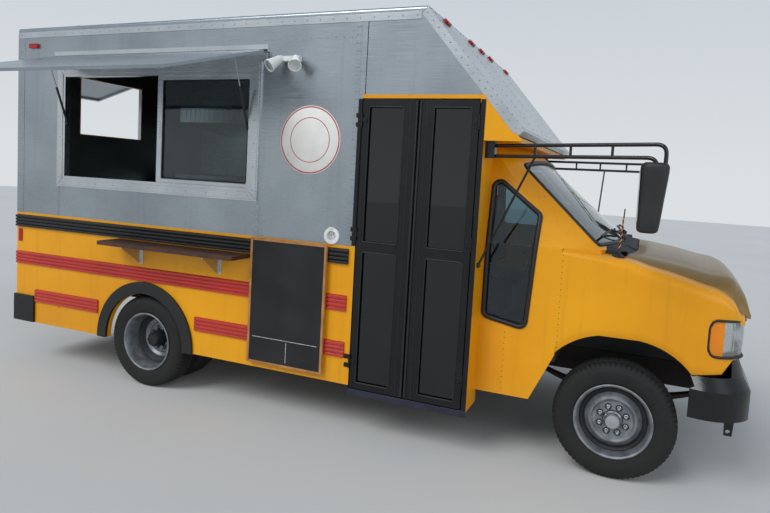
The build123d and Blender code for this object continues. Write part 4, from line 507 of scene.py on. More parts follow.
def dress(material, bevel, *names, bend=32):
    """Give CAD nodes their finish, and soft edges at the size of the real ones."""
    for name in names:
        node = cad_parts[name]
        node.data.materials.clear()
        node.data.materials.append(material)
        node.modifiers.new("weld", "WELD").merge_threshold = 1e-5
        round_edges(node, bevel, bend)


dress(yellow_enamel, 0.003, "lower_sides", "rear_wall", "front_transition", "cab_shell", "driver_door")
dress(sheet_aluminium, 0.003, "upper_sides", "roof", "serving_hatch", "rear_flap")
dress(bright_aluminium, 0.002, "window_frame", "roof_slope")
dress(red_enamel, 0.002, "red_rails")
dress(epdm_rubber, 0.003, "black_side_trim")
dress(black_enamel, 0.004, "rear_bumper")
dress(black_enamel, 0.004, "front_bumper", bend=10.5)
dress(black_plastic, 0.003, "cowl", "grille")
dress(black_anodised, 0.003, "entry_leaf_rear", "entry_leaf_front")
dress(tinted_glass, 0.0005, "entry_glass_rear", "entry_glass_front")
dress(cab_glass, 0.0005, "fixed_glass", "driver_door_glass")
dress(grey_plastic, 0.006, "dashboard", "engine_cover")
dress(floor_mat, 0.002, "floor", "cab_floor")
dress(scuffed_sill, 0.003, "stepwell")
dress(chassis_paint, 0.003, "frame_rails", "frame_crossmembers", "fuel_tank", "front_axle", "rear_axle",
      "leaf_springs", "engine", "knuckle_left", "knuckle_right")
dress(exhaust_steel, 0.002, "exhaust")
dress(brushed_stainless, 0.002, "kitchen_counters", "exhaust_hood", "strut_rods")
dress(black_enamel, 0.001, "strut_cylinders")
dress(white_abs, 0.002, "power_inlet")

# Wheels
TYRE_HALF = (
    # radius, distance out from the middle of the tyre
    (0.366, 0.000), (0.366, 0.006), (0.357, 0.008), (0.357, 0.014), (0.366, 0.016), (0.366, 0.036),
    (0.357, 0.038), (0.357, 0.045), (0.3655, 0.047), (0.3645, 0.068), (0.3600, 0.078), (0.3480, 0.092),
    (0.3360, 0.098), (0.3200, 0.1035), (0.3050, 0.1055), (0.3040, 0.1045), (0.2900, 0.1050),
    (0.2700, 0.1030), (0.2560, 0.0985), (0.2550, 0.0995), (0.2450, 0.0970), (0.2330, 0.0900),
    (0.2215, 0.0860),
)
TREAD_BLOCKS = 72
TREAD_STEPS = 4


def tyre(centre):
    """A ribbed tyre: three grooves round it, and a cut across the shoulder at each block."""
    profile = [(r, -w) for r, w in reversed(TYRE_HALF)] + [(r, w) for r, w in TYRE_HALF[1:]]
    low = {(r, w) for r, w in TYRE_HALF[8:12]}

    def cut(ring, step):
        radius, along = profile[ring]
        if (radius, abs(along)) not in low:
            return 0
        return 0.007 if step % TREAD_STEPS == (1 if along > 0 else 3) else 0

    return lathe(profile, centre, (0, 1, 0), TREAD_BLOCKS * TREAD_STEPS, wobble=cut)


RIM_OUTER = (
    # radius, distance out from the wheel's middle
    (0.2140, -0.0860), (0.2290, -0.0920), (0.2310, -0.0980), (0.2260, -0.1010), (0.2190, -0.0970),
    (0.2150, -0.0880), (0.2030, -0.0600), (0.1990, 0.0000), (0.2030, 0.0500), (0.2130, 0.0880),
    (0.2180, 0.0970), (0.2260, 0.1010), (0.2320, 0.0985), (0.2300, 0.0910), (0.2215, 0.0870),
)
FRONT_DISC = (
    (0.2040, 0.0460), (0.1980, 0.0340), (0.1900, 0.0280), (0.1800, 0.0280), (0.1680, 0.0340),
    (0.1560, 0.0460), (0.1460, 0.0580), (0.1390, 0.0640), (0.1310, 0.0650), (0.1250, 0.0600),
    (0.1180, 0.0520), (0.1080, 0.0490), (0.0600, 0.0500), (0.0590, 0.0400),
)
REAR_DISC = (
    (0.2050, -0.0300), (0.1980, -0.0420), (0.1860, -0.0520), (0.1700, -0.0600), (0.1550, -0.0660),
    (0.1440, -0.0700), (0.1360, -0.0780), (0.1290, -0.0800), (0.1200, -0.0760), (0.1080, -0.0740),
    (0.0600, -0.0740), (0.0590, -0.0820),
)
NUT_RING = 0.0825
NUTS = 8


def round_ring(centre, side, radius, off, count, turn=0.0):
    """Points at an even spacing round a wheel's axis."""
    first, second = side_axes((0, side, 0))
    start = Vector(centre) + Vector((0, side * off, 0))
    turns = [2 * math.pi * (k + turn) / count for k in range(count)]
    return [start + (first * math.cos(a) + second * math.sin(a)) * radius for a in turns]


def rim(centre, side, disc):
    """A steel rim: its barrel and its dished disc."""
    axis = (0, side, 0)
    return [lathe(RIM_OUTER, centre, axis, 96), lathe(disc, centre, axis, 96)]


def lug_nuts(centre, side, disc):
    """Eight nuts on the disc's flat face."""
    nut = [(0.0140, 0.0), (0.0140, 0.002), (0.0115, 0.003), (0.0115, 0.018), (0.0080, 0.023), (TIP, 0.025)]
    spots = round_ring(centre, side, NUT_RING, disc[-3][1], NUTS, 0.5)
    return [lathe(nut, at, (0, side, 0), 6) for at in spots]


def shade_rings(centre, side, disc):
    """Painted shade over the disc's well, and in a round pocket at each nut."""
    well = [(r + 0.0002, w + 0.0010) for r, w in disc[0:5]]
    pocket = [(0.0215, 0.0), (0.0210, 0.0012), (0.0165, 0.0010), (TIP, 0.0010)]
    spots = round_ring(centre, side, NUT_RING, disc[-3][1], NUTS, 0.5)
    return [lathe(well, centre, (0, side, 0), 96)] + [lathe(pocket, at, (0, side, 0), 20) for at in spots]


for name, side in SIDES:
    body = f"front_wheel_{name}"
    axis = (0, side, 0)
    centre = (FRONT_WHEEL[0], side * FRONT_WHEEL[1], WHEEL_Z)
    piece(f"tyre_front_{name}", body, tyre_rubber, [tyre(centre)], sharp=28,
          stands_for=[f"front_tyre_{name}"])
    piece(f"rim_front_{name}", body, wheel_paint, rim(centre, side, FRONT_DISC), sharp=30,
          stands_for=[f"front_rim_{name}"])
    # Painted shade in the rim's well and lug pockets
    piece(f"rim_shade_front_{name}", body, wheel_shade_and_hub, shade_rings(centre, side, FRONT_DISC), sharp=40)
    cap = [(0.056, 0.040), (0.056, 0.060), (0.050, 0.066), (0.047, 0.070), (0.046, 0.094), (0.040, 0.102),
           (TIP, 0.105)]
    piece(f"hub_front_{name}", body, bright_aluminium,
          [lathe(cap, centre, axis, 40), *lug_nuts(centre, side, FRONT_DISC)], sharp=30)
    body = f"rear_wheels_{name}"
    outer = (REAR_WHEELS[0], side * REAR_WHEELS[1], WHEEL_Z)
    inner = (REAR_WHEELS[0], side * REAR_WHEELS[2], WHEEL_Z)
    piece(f"tyres_rear_{name}", body, tyre_rubber, [tyre(outer), tyre(inner)], sharp=28,
          stands_for=[f"rear_tyres_{name}"])
    piece(f"rims_rear_{name}", body, wheel_paint, rim(outer, side, REAR_DISC) + rim(inner, -side, REAR_DISC),
          sharp=30, stands_for=[f"rear_rims_{name}"])
    hub = [(0.066, -0.090), (0.066, -0.030), (0.062, -0.022), (0.056, 0.018), (0.050, 0.026), (TIP, 0.028)]
    bolt = [(0.006, -0.004), (0.006, 0.006), (TIP, 0.007)]
    bolts = [lathe(bolt, at, axis, 6) for at in round_ring(outer, side, 0.044, 0.026, 8)]
    # Painted shade in the rim's well and lug pockets, with the dark hub and its bolts
    piece(f"rim_shade_rear_{name}", body, wheel_shade_and_hub,
          shade_rings(outer, side, REAR_DISC) + [lathe(hub, outer, axis, 40)] + bolts, sharp=40)
    piece(f"lug_nuts_rear_{name}", body, zinc_plate, lug_nuts(outer, side, REAR_DISC), sharp=30)

# Hood: one pressing over the CAD's sections, its rear edge bowed forward in the middle
HOOD_ROWS = (
    # x, half width, edge z, shoulder z, crown z
    (-0.060, 0.826, 1.377, 1.397, 1.416), (0.300, 0.826, 1.297, 1.343, 1.368),
    (0.480, 0.826, 1.245, 1.305, 1.328), (0.590, 0.824, 1.180, 1.290, 1.318),
    (0.637, 0.818, 1.108, 1.250, 1.288), (0.680, 0.812, 1.098, 1.185, 1.225),
    (0.700, 0.806, 1.094, 1.110, 1.125),
)
HOOD_ROLL = 0.136
HOOD_SHEET = 0.022
hood_table = smooth_rows(HOOD_ROWS, 7)


def hood_section(x):
    """Y and z across the hood at x: a rolled edge, the crown and a rolled edge."""
    half, edge, shoulder, crown = between(hood_table, x)
    roll = arc_points((half, edge), (half - 0.38 * HOOD_ROLL, edge + 0.64 * (shoulder - edge)),
                      (half - HOOD_ROLL, shoulder), 6)
    top = arc_points((half - HOOD_ROLL, shoulder), (0, crown), (HOOD_ROLL - half, shoulder), 28)
    return roll + top[1:] + [(-y, z) for y, z in reversed(roll)][1:]


def hood_rear(y):
    """X of the hood's rear edge."""
    if abs(y) < 0.400:
        return 0.060
    line = arc_points((0.830, -0.014), (0.620, 0.041), (0.400, 0.060), 12)
    return between(sorted(line), abs(y))[0]


def hood_skin(drop):
    """Rows of points over the hood, with a shallow raised panel down its middle."""
    first, last = hood_table[0][0], hood_table[-1][0]
    rows = []
    for station in hood_table:
        share = (station[0] - first) / (last - first)
        row = []
        for k, (across, _) in enumerate(hood_section(station[0])):
            x = station[0] + (hood_rear(across) - first) * (1 - share)
            y, z = hood_section(x)[k]
            raised = max(0.0, min(1.0, (0.63 - abs(y)) / 0.05)) * max(0.0, min(1.0, (0.60 - x) / 0.08))
            row.append((x, y, z + 0.005 * raised * min(1.0, share * 8) - drop))
        rows.append(row)
    return rows


def closed_sheet(rows, under):
    """A sheet between two skins with the same rows, closed round its rim."""
    def rim_of(skin):
        return skin[0] + [r[-1] for r in skin[1:-1]] + skin[-1][::-1] + [r[0] for r in skin[-2:0:-1]]
    return [grid(rows), grid(under), grid([rim_of(rows), rim_of(under)], True)]


piece("hood_pressing", "hood", hood_enamel, closed_sheet(hood_skin(0), hood_skin(HOOD_SHEET)), sharp=50,
      stands_for=["hood"])
straps = []
for y in (-0.450, 0.450):
    straps.append(box((-0.025, 0.075), (y - 0.015, y + 0.015), (1.377, 1.382)))
    straps.append(tube([(-0.025, y - 0.008, 1.385), (-0.025, y + 0.008, 1.385)], 0.007, 16))
piece("hood_hinges", "hood", chassis_paint, straps, bevel=0.001, stands_for=["hood"])

# Wings: pressings over the CAD's sections, cut for the wheel and the lamp
WING_ROWS = (
    # x, top z beside the hood, half width, shoulder radius
    (-0.372, 1.399, 1.007, 0.026), (-0.020, 1.372, 1.007, 0.050), (0.135, 1.334, 1.007, 0.062),
    (0.278, 1.302, 1.006, 0.066), (0.430, 1.259, 1.000, 0.066), (0.528, 1.230, 0.982, 0.060),
    (0.598, 1.178, 0.957, 0.052), (0.637, 1.112, 0.932, 0.044), (0.660, 1.100, 0.908, 0.036),
)
ARCH = (
    arc_points((-0.377, 0.740), (-0.256, 0.842), (-0.120, 0.895), 7)
    + arc_points((0.110, 0.897), (0.285, 0.842), (0.405, 0.741), 8)
    + [(0.560, 0.763), (0.610, 0.850), (0.665, 0.862)])
WING_IN = 0.832
LAMP_CUT = (0.470, 0.858, 1.073, 0.050)
wing_table = smooth_rows(WING_ROWS, 5)


def lamp_edge(start, low, high, radius, x):
    """The lamp cut's lower and upper z at x, with its rear corners rounded."""
    short = max(0.0, radius - (x - start))
    dip = radius - math.sqrt(max(0.0, radius ** 2 - short ** 2))
    return low + dip, high - dip


def wing_row(side, x, top, half, radius, foot):
    """One section of a wing from its foot up the side, round the shoulder and in to the hood."""
    low = top - 0.008
    row = [(x, side * half, foot + (low - radius - foot) * k / 8) for k in range(9)]
    for k in range(1, 8):
        a = math.pi / 2 * k / 8
        row.append((x, side * (half - radius + radius * math.cos(a)), low - radius + radius * math.sin(a)))
    row.append((x, side * (half - radius), low))
    row.append((x, side * (half - radius + WING_IN) / 2, (low + top) / 2))
    row.append((x, side * WING_IN, top))
    return row


def wing_shapes(side):
    """A wing's sheet: the side with the wheel's arch, and the nose above and below the lamp."""
    start, low, high, radius = LAMP_CUT
    cuts = [x for x, z in ARCH if x > WING_REAR_X]
    cuts += [start + d for d in (0, 0.004, 0.012, 0.022, 0.035, 0.05)]
    stations = sorted({round(x, 4) for x in [r[0] for r in wing_table] + cuts if x <= 0.660})
    main, upper, lower = [], [], []
    for x in stations:
        top, half, roll = between(wing_table, x)
        foot = between(ARCH, x)[0]
        if x <= start:
            main.append(wing_row(side, x, top, half, roll, foot))
        if x >= start:
            cut = lamp_edge(start, low, high, radius, x)
            upper.append(wing_row(side, x, top, half, roll, min(cut[1], top - roll - 0.012)))
            if foot < cut[0] - 0.003:
                lower.append([(x, side * half, foot + (cut[0] - foot) * k / 4) for k in range(5)])
    shapes = []
    for rows in (main, upper, lower):
        under = [[(x, y - side * 0.0025, z - 0.0025) for x, y, z in row] for row in rows]
        shapes += closed_sheet(rows, under)
    return shapes


LINER = ((-0.370, 0.756), (-0.268, 0.862), (-0.124, 0.910), (0.112, 0.912), (0.292, 0.858), (0.412, 0.758),
         (0.420, 0.764), (0.297, 0.867), (0.115, 0.922), (-0.126, 0.920), (-0.272, 0.872), (-0.370, 0.769))
APRON = ((-0.370, 0.672), (-0.370, 0.760), (-0.268, 0.866), (-0.124, 0.915), (0.112, 0.917), (0.293, 0.863),
         (0.415, 0.760), (0.560, 0.740), (0.560, 0.672))
SPLASH = ((-0.370, 0.756), (-0.378, 0.756), (-0.513, 0.430), (-0.505, 0.430))
for name, side in SIDES:
    piece(f"wing_{name}", "body", yellow_enamel, wing_shapes(side), sharp=60, stands_for=["front_wings"])
    piece(f"wheel_liner_{name}", "body", black_plastic, [
        slab([(x, side * inner, z) for x, z in outline], (0, side * wide, 0))
        for outline, inner, wide in ((LINER, 0.458, 0.526), (APRON, 0.448, 0.010), (SPLASH, 0.458, 0.526))],
        bevel=0.002, stands_for=["front_wings"])

# Lamps at the corners of the nose
LAMP_PLAN = [Vector((x, y, 0)) for x, y in (
    [(0.672 - 0.004 * k / 52, 0.655 + 0.185 * k / 52) for k in range(52)]
    + arc_points((0.668, 0.840), (0.628, 0.928), (0.474, 0.986), 56))]
LENS_Z = (0.862, 1.069)
LENS_REAR_X = 0.474
LENS_CORNER = 0.046
SPLIT_X = 0.558
FLUTE = 0.014


def lens_column(at, out, side, inset, grow=0.0):
    """A column of the lens at a point of its plan, bowed outward, its rear end rounded."""
    low, high = lamp_edge(LENS_REAR_X, *LENS_Z, LENS_CORNER, at.x)
    column = []
    for k in range(9):
        share = k / 8
        off = 0.005 * math.sin(math.pi * share) - 0.005 - inset + grow
        column.append((at.x + out.x * off, side * (at.y + out.y * off), low + (high - low) * share))
    return column


def lens(side, part, flute):
    """A moulded lens over part of the plan, with upright flutes on its inner face."""
    outer, inner = [], []
    for i in part:
        at = LAMP_PLAN[i]
        ahead = LAMP_PLAN[min(i + 1, len(LAMP_PLAN) - 1)] - LAMP_PLAN[max(i - 1, 0)]
        out = Vector((ahead.y, -ahead.x, 0)).normalized()
        outer.append(lens_column(at, out, side, 0))
        ripple = flute * 0.5 * (1 + math.cos(2 * math.pi * i * 0.00356 / FLUTE))
        inner.append(lens_column(at, out, side, 0.003 + ripple))
    return closed_sheet(outer, inner)


split = next(i for i, p in enumerate(LAMP_PLAN) if p.x < SPLIT_X)
for name, side in SIDES:
    piece(f"headlamp_lens_{name}", "body", clear_lens, lens(side, range(0, split + 1), 0.0014), sharp=60,
          stands_for=["headlamps"])
    piece(f"turn_lens_{name}", "body", amber_lens, lens(side, range(split, len(LAMP_PLAN)), 0.0014), sharp=60,
          stands_for=["headlamps"])
    bowl = [(0.093, 0.052), (0.086, 0.034), (0.070, 0.014), (0.050, 0.0), (0.022, -0.008), (TIP, -0.010)]
    bulb = [(0.016, 0.0), (0.014, 0.030), (TIP, 0.036)]
    lamp_middle = (0.590, side * 0.752, 0.966)
    inner_wall = [[(p.x - 0.040, side * (p.y - 0.024), z) for z in (0.866, 1.065)] for p in LAMP_PLAN[::4]]
    piece(f"lamp_bowl_{name}", "body", bright_chrome, [
        lathe(bowl, lamp_middle, (1, 0, 0), 32), lathe(bulb, lamp_middle, (1, 0, 0), 16),
        grid(inner_wall[9:])], sharp=60)
    plates = []
    for z in (0.862, 1.066):
        outline = [(p.x - 0.004, side * (p.y - 0.003), z) for p in LAMP_PLAN[::4]]
        outline += [(LENS_REAR_X, side * 0.950, z), (0.585, side * 0.870, z), (0.585, side * 0.655, z)]
        plates.append(slab(outline, (0, 0, 0.003)))
    plates.append(box((0.583, 0.586), sorted((side * 0.655, side * 0.860)), LENS_Z))
    piece(f"lamp_case_{name}", "body", black_plastic, plates, sharp=40)
    edge = [(p, lamp_edge(LENS_REAR_X, *LENS_Z, LENS_CORNER, p.x)) for p in LAMP_PLAN[::3]]
    seal = [(p.x + 0.001, side * (p.y + 0.001), z[1] + 0.003) for p, z in edge]
    seal += [(p.x + 0.001, side * (p.y + 0.001), z[0] - 0.003) for p, z in reversed(edge)]
    piece(f"lamp_seal_{name}", "body", epdm_rubber, [tube(seal, 0.0075, 8, closed=True)], sharp=60)


# Cab glass: the nose leans back between two arcs
# Half width, x in the middle and x at the corner, at the nose's foot and at the windshield's head
NOSE_LOW = (0.905, -0.010, -0.150)
NOSE_HIGH = (0.800, -0.640, -0.742)
NOSE_FOOT_Z = 1.400
NOSE_RISE = 0.550


def arc_x(y, half, nose, corner):
    """X at y on an arc across the cab."""
    rise = nose - corner
    radius = (half ** 2 + rise ** 2) / (2 * rise)
    return nose - radius + math.sqrt(radius ** 2 - y ** 2)


def nose_x(y, z):
    """X of the cab's nose at y and z."""
    share = (z - NOSE_FOOT_Z) / NOSE_RISE
    turn = y / ((1 - share) * NOSE_LOW[0] + share * NOSE_HIGH[0])
    low = arc_x(NOSE_LOW[0] * turn, *NOSE_LOW)
    high = arc_x(NOSE_HIGH[0] * turn, *NOSE_HIGH)
    return (1 - share) * low + share * high


def on_nose(y, z, lift=0.0):
    """A point on the cab's nose, lifted off it."""
    return Vector((nose_x(y, z) + 0.75 * lift, y, z + 0.66 * lift))


SCREEN_OUT = Vector((0.6816, 0, 0.7317))
SCREEN_UP = Vector((-0.7317, 0, 0.6816))


def on_screen(across, up, lift=0.0):
    """A point on the windshield from its middle, lifted off the glass."""
    start = Vector((-0.420, across, 1.665)) + SCREEN_UP * up
    low, high = -0.4, 0.4
    for _ in range(30):
        middle = (low + high) / 2
        at = start + SCREEN_OUT * middle
        if at.x < nose_x(across, at.z):
            low = middle
        else:
            high = middle
    return start + SCREEN_OUT * (low + lift)


def cab_half(x, z):
    """Half the cab's width at x and z."""
    share = max(0.0, (z - NOSE_FOOT_Z) / NOSE_RISE)
    table = [(CAB_BACK_LEFT, CAB_HALF - 0.102 * share), (-0.400 - 0.415 * share, 1.003 - 0.110 * share),
             (-0.150 - 0.592 * share, 0.905 - 0.105 * share)]
    return max(between(table, x)[0], CAB_HALF if z < NOSE_FOOT_Z else 0)


# Skirt under the cab's front corners, down to the wings
SKIRT = [(WING_REAR_X, 0.992), (-0.260, 0.948), (-0.150, 0.905)] + [
    (arc_x(y, *NOSE_LOW), y) for y in (0.895, 0.880, 0.865, 0.850, 0.835)]
for name, side in SIDES:
    skirt = [[(x + 0.0005, side * (y + 0.0008), z) for z in (1.405, between(wing_table, x)[0] - 0.012)]
             for x, y in SKIRT]
    behind = [[(x - 0.003, y - side * 0.003, z) for x, y, z in row] for row in skirt]
    piece(f"cab_skirt_{name}", "body", yellow_enamel, closed_sheet(skirt, behind), sharp=40)

screen_edge = rounded([Vector((a, b, 0)) for a, b in (
    (-0.874, -0.335), (0.874, -0.335), (0.775, 0.365), (-0.775, 0.365))], [0.03, 0.03, 0.07, 0.07], 6)
screen_line = []
for p in divided(screen_edge, 0.05):
    if p.y < -0.29:
        screen_line.append(on_nose(p.x, 1.430 + (p.y + 0.335) * 0.68, 0.001))
    else:
        screen_line.append(on_screen(p.x, p.y, 0.001))
piece("windshield_gasket", "body", epdm_rubber, [tube(screen_line, 0.013, 10, closed=True)], sharp=60)

WEDGE = ((-0.838, 1.794), (-0.786, 1.797), (-0.524, 1.598), (-0.566, 0.871), (-0.838, 0.922))
DOOR_PANE = ((-0.560, 1.400), (-0.868, 1.840), (-1.155, 1.852), (-1.160, 1.400))
for name, body, side, corners, radius, size in (
        ("wedge_gasket", "body", -1, WEDGE, 0.040, 0.016),
        ("door_pane_gasket", "driver_door", 1, DOOR_PANE, 0.03, 0.009)):
    edge = divided(rounded([Vector((x, 0, z)) for x, z in corners], radius, 5), 0.06)
    line = [(p.x, side * (cab_half(p.x, p.z) + 0.002), p.z) for p in edge]
    piece(name, body, epdm_rubber, [tube(line, size, 10, closed=True)], sharp=60)

# Cowl: a ribbed black grille between the hood and the windshield
RIB_PITCH = 0.026
COWL_HALF = 0.812
# Beyond this the cowl's rear edge falls towards the wing
COWL_EVEN = 0.730
# Where the cowl bends down under the hood
COWL_BEND_X = -0.030
rows = []
count = round(2 * COWL_HALF / (RIB_PITCH / 4))
for i in range(count + 1):
    y = -COWL_HALF + 2 * COWL_HALF * i / count
    across = abs(y)
    fall = max(0.0, (across - COWL_EVEN) / (COWL_HALF - COWL_EVEN))
    back_z = 1.424 - 0.021 * fall ** 2 * (3 - 2 * fall)
    start = nose_x(y, 1.426) + 0.004
    end = hood_rear(min(across, 0.826)) - 0.006
    end_z = 1.378
    if across < 0.824:
        end_z = between(sorted(hood_section(hood_rear(across))), across)[0] - 0.008
    rise = 0.003 if i % 4 in (1, 2) else 0
    bend_z = max(1.4022, back_z + (end_z - back_z) * (COWL_BEND_X - start) / (end - start))
    row = [(start + (COWL_BEND_X - start) * k / 4, y, back_z + (bend_z - back_z) * k / 4 + rise)
           for k in range(5)]
    tip = -0.028 if 0.428 < across < 0.472 else end
    tip_z = bend_z if tip < 0 else end_z
    row += [(COWL_BEND_X + (tip - COWL_BEND_X) * k / 3, y, bend_z + (tip_z - bend_z) * k / 3 + rise)
            for k in (1, 2, 3)]
    rows.append(row)
under = [[(x, y, z - 0.002) for x, y, z in row] for row in rows]
piece("cowl_grille", "body", black_plastic, closed_sheet(rows, under), sharp=40)

# Wipers, parked along the base of the windshield
WIPER_BOSS = [(0.018, -0.012), (0.018, 0.014), (0.012, 0.022), (TIP, 0.023)]
wipers = []
for start, end, root in ((-0.74, -0.16, -0.22), (-0.06, 0.52, 0.34)):
    blade = []
    for k in range(9):
        y = start + (end - start) * k / 8
        blade.append(on_nose(y, 1.466 + 0.020 * math.sin(math.pi * k / 8), 0.020))
    wipers.append(tube(blade, 0.008, 8))
    middle = on_nose((start + end) / 2, 1.488, 0.034)
    foot = on_nose(root, 1.436, 0.014)
    wipers.append(tube([foot, (foot + middle) / 2 + Vector((0.008, 0, 0.014)), middle], 0.006, 8))
    wipers.append(lathe(WIPER_BOSS, foot, (0.55, 0, 0.8), 16))
piece("wipers", "body", black_plastic, wipers, sharp=50)

# Whip antenna with a spiral of tape on its stem
antenna_foot = Vector((-0.050, -0.880, 1.372))
lean = Vector((0.05, 0.14, 0.95)).normalized()
piece("antenna_foot", "body", black_plastic, [
    lathe([(0.038, -0.004), (0.038, 0.006), (0.026, 0.012), (0.012, 0.020), (0.010, 0.034), (TIP, 0.036)],
          antenna_foot, (0, -0.1, 1), 24)], sharp=50)
piece("antenna_stem", "body", black_enamel, [
    tube([antenna_foot, antenna_foot + lean * 0.30], 0.0038, 8)], sharp=60)
first, second = side_axes(lean)
COIL_STEPS, TURN_STEPS = 70, 12
coil = []
for k in range(COIL_STEPS):
    a = 2 * math.pi * k / TURN_STEPS
    out = first * math.cos(a) + second * math.sin(a)
    coil.append(antenna_foot + lean * (0.045 + 0.20 * k / (COIL_STEPS - 1)) + out * 0.0036)
piece("antenna_tape", "body", amber_lens, [tube(coil, 0.0034, 6)], sharp=60)

# Mirrors: bent tubes out to a tall head, and a brace
ARM_ROOT = (-0.836, 1.110)
ARM_Z = ((2.014, 2.034), (1.950, 1.962))
ARM_BEND_X = (0.158, 0.118)
HEAD_AT = (0.110, 1.390)
HEAD_ROWS = (
    # z, half depth, half width, middle x
    (1.566, 0.034, 0.062, 0.096), (1.574, 0.048, 0.075, 0.096), (1.600, 0.056, 0.081, 0.097),
    (1.750, 0.064, 0.086, 0.103), (1.890, 0.071, 0.091, 0.109), (1.924, 0.066, 0.088, 0.110),
    (1.936, 0.050, 0.074, 0.110),
)
HEAD_STEPS = 36
# For each side, x on the lower arm where the brace starts, and its foot
BRACES = {-1: (-0.546, (-0.859, -1.150, 1.262)), 1: (-0.300, (-0.320, 0.985, 1.390))}
for name, side in SIDES:
    bars = []
    for (z_in, z_out), bend_x in zip(ARM_Z, ARM_BEND_X):
        root = Vector((ARM_ROOT[0], side * ARM_ROOT[1], z_in))
        corner = Vector((bend_x, side * HEAD_AT[1], z_out))
        along = (corner - root).normalized()
        turn = [corner - along * 0.055 * (1 - t) ** 2 - Vector((0, 0, 0.055)) * t ** 2
                for t in (k / 8 for k in range(9))]
        bars.append(tube([root, *turn, corner - Vector((0, 0, z_out - 1.900))], 0.011, 12))
        if z_in < 2:
            brace_x, foot = BRACES[side]
            joint = root + (corner - root) * ((brace_x - root.x) / (corner.x - root.x))
            bars.append(tube([joint, foot], 0.007, 10))
            bars.append(lathe([(0.016, -0.004), (0.016, 0.004), (0.010, 0.012), (TIP, 0.013)], foot,
                              (0, side, 0.2), 16))
    low = Vector((ARM_ROOT[0], side * ARM_ROOT[1], 1.950))
    for share in (0.30, 0.52, 0.76):
        at = low + Vector((0.954, side * 0.280, 0.012)) * share
        bars.append(tube([at, at + Vector((0, 0, 0.066))], 0.008, 10))
    bars.append(box((ARM_ROOT[0] - 0.030, ARM_ROOT[0] + 0.030),
                    sorted((side * (ARM_ROOT[1] - 0.030), side * (ARM_ROOT[1] + 0.030))), (1.936, 2.040)))
    piece(f"mirror_arms_{name}", "body", black_enamel, bars, sharp=50, stands_for=["mirrors"])
    rings = []
    for z, deep, wide, middle in smooth_rows(HEAD_ROWS, 4):
        ring = []
        for k in range(HEAD_STEPS):
            a = 2 * math.pi * k / HEAD_STEPS
            c, s = math.cos(a), math.sin(a)
            ring.append((middle + deep * abs(c) ** 0.5 * (1 if c > 0 else -1),
                         side * HEAD_AT[1] + wide * abs(s) ** 0.5 * (1 if s > 0 else -1), z))
        rings.append(ring)
    shell = grid(rings, True)
    shell[1].append(tuple(range(HEAD_STEPS)))
    shell[1].append(tuple(range(len(shell[0]) - HEAD_STEPS, len(shell[0])))[::-1])
    piece(f"mirror_shell_{name}", "body", black_plastic, [shell], sharp=50, stands_for=["mirrors"])
    glass = rounded([Vector((x, side * HEAD_AT[1] + y, z)) for x, y, z in (
        (0.0385, -0.060, 1.620), (0.0385, 0.060, 1.620), (0.0345, 0.074, 1.890),
        (0.0345, -0.074, 1.890))], 0.018)
    piece(f"mirror_face_{name}", "body", mirror_glass, [slab(glass, (0.006, 0, 0))], sharp=40)

# Entry door: gaskets round the panes, the leaves' meeting edges, and the jambs
PANE_Z = ((0.378, 1.274), (1.344, 2.238))
LEAVES = (("rear", -1.689, -1.2995, 1), ("front", -0.902, -1.2915, -1))
for name, outer, inner, turn in LEAVES:
    body = f"entry_leaf_{name}"
    seals = []
    for low, high in PANE_Z:
        x0, x1 = outer + turn * 0.046, inner - turn * 0.098
        corners = [(x, -1.2002, z) for x, z in ((x0, low), (x1, low), (x1, high), (x0, high))]
        seals.append(tube(rounded(corners, 0.012, 5), 0.005, 8, closed=True))
    edge, fold = inner - turn * 0.009, inner - turn * 0.052
    seals.append(tube([(edge, -1.202, 0.345), (edge, -1.202, 2.278)], 0.0085, 10))
    seals.append(tube([(fold, -1.2004, 0.340), (fold, -1.2004, 2.283)], 0.0035, 8))
    piece(f"leaf_seals_{name}", body, epdm_rubber, seals, sharp=60)
    plate = sorted((outer + turn * 0.050, inner - turn * 0.102))
    piece(f"leaf_kick_plate_{name}", body, black_anodised, [
        box(plate, (-1.2015, -1.199), (0.337, 0.376))], bevel=0.0008)
    latch = [(inner - turn * 0.050, y, z) for y, z in (
        (-1.1635, 1.20), (-1.140, 1.205), (-1.140, 1.345), (-1.1635, 1.35))]
    piece(f"inside_pull_{name}", body, zinc_plate, [tube(latch, 0.006, 10)], sharp=60)
piece("entry_jamb_trim", "body", black_anodised, [
    box((-0.8945, -0.864), (-1.2035, -1.1995), (0.321, 2.290)),
    box((-0.8970, -0.8940), (-1.200, -1.166), (0.330, 2.285)),
    box((-1.7200, -1.6955), (-1.2050, -1.1995), (1.310, 2.290)),
    box((-1.6965, -1.6935), (-1.200, -1.166), (0.330, 2.285))], bevel=0.001)
HINGE_Z = (0.520, 1.390, 2.150)
# The fixed knuckles lie above and below the leaf's, from and to these distances off the hinge's middle
KNUCKLE_NEAR, KNUCKLE_FAR = 0.0149, 0.0451
covers = []
for pin_x, plate_x in ((-1.692, -1.733), (-0.899, -0.870)):
    for z in HINGE_Z:
        for low, high in ((z - KNUCKLE_FAR, z - KNUCKLE_NEAR), (z + KNUCKLE_NEAR, z + KNUCKLE_FAR)):
            covers.append(tube([(pin_x, -1.208, low), (pin_x, -1.208, high)], 0.0075, 20))
            covers.append(box(sorted((pin_x, plate_x)), (-1.2056, -1.1998), (low, high)))
piece("entry_hinge_covers", "body", black_anodised, covers, sharp=40)
piece("entry_sill", "body", scuffed_sill, [
    box((-1.700, -0.862), (-1.2045, -1.1995), (0.288, 0.329))], bevel=0.002)


# Trim and fixings on the box
def rivet_row(start, end, pitch, normal, radius=0.0055, height=0.0028):
    """Rivet heads at an even pitch from start to end."""
    start, end = Vector(start), Vector(end)
    count = max(1, round((end - start).length / pitch))
    return [dome(start + (end - start) * (k / count), normal, radius, height) for k in range(count + 1)]


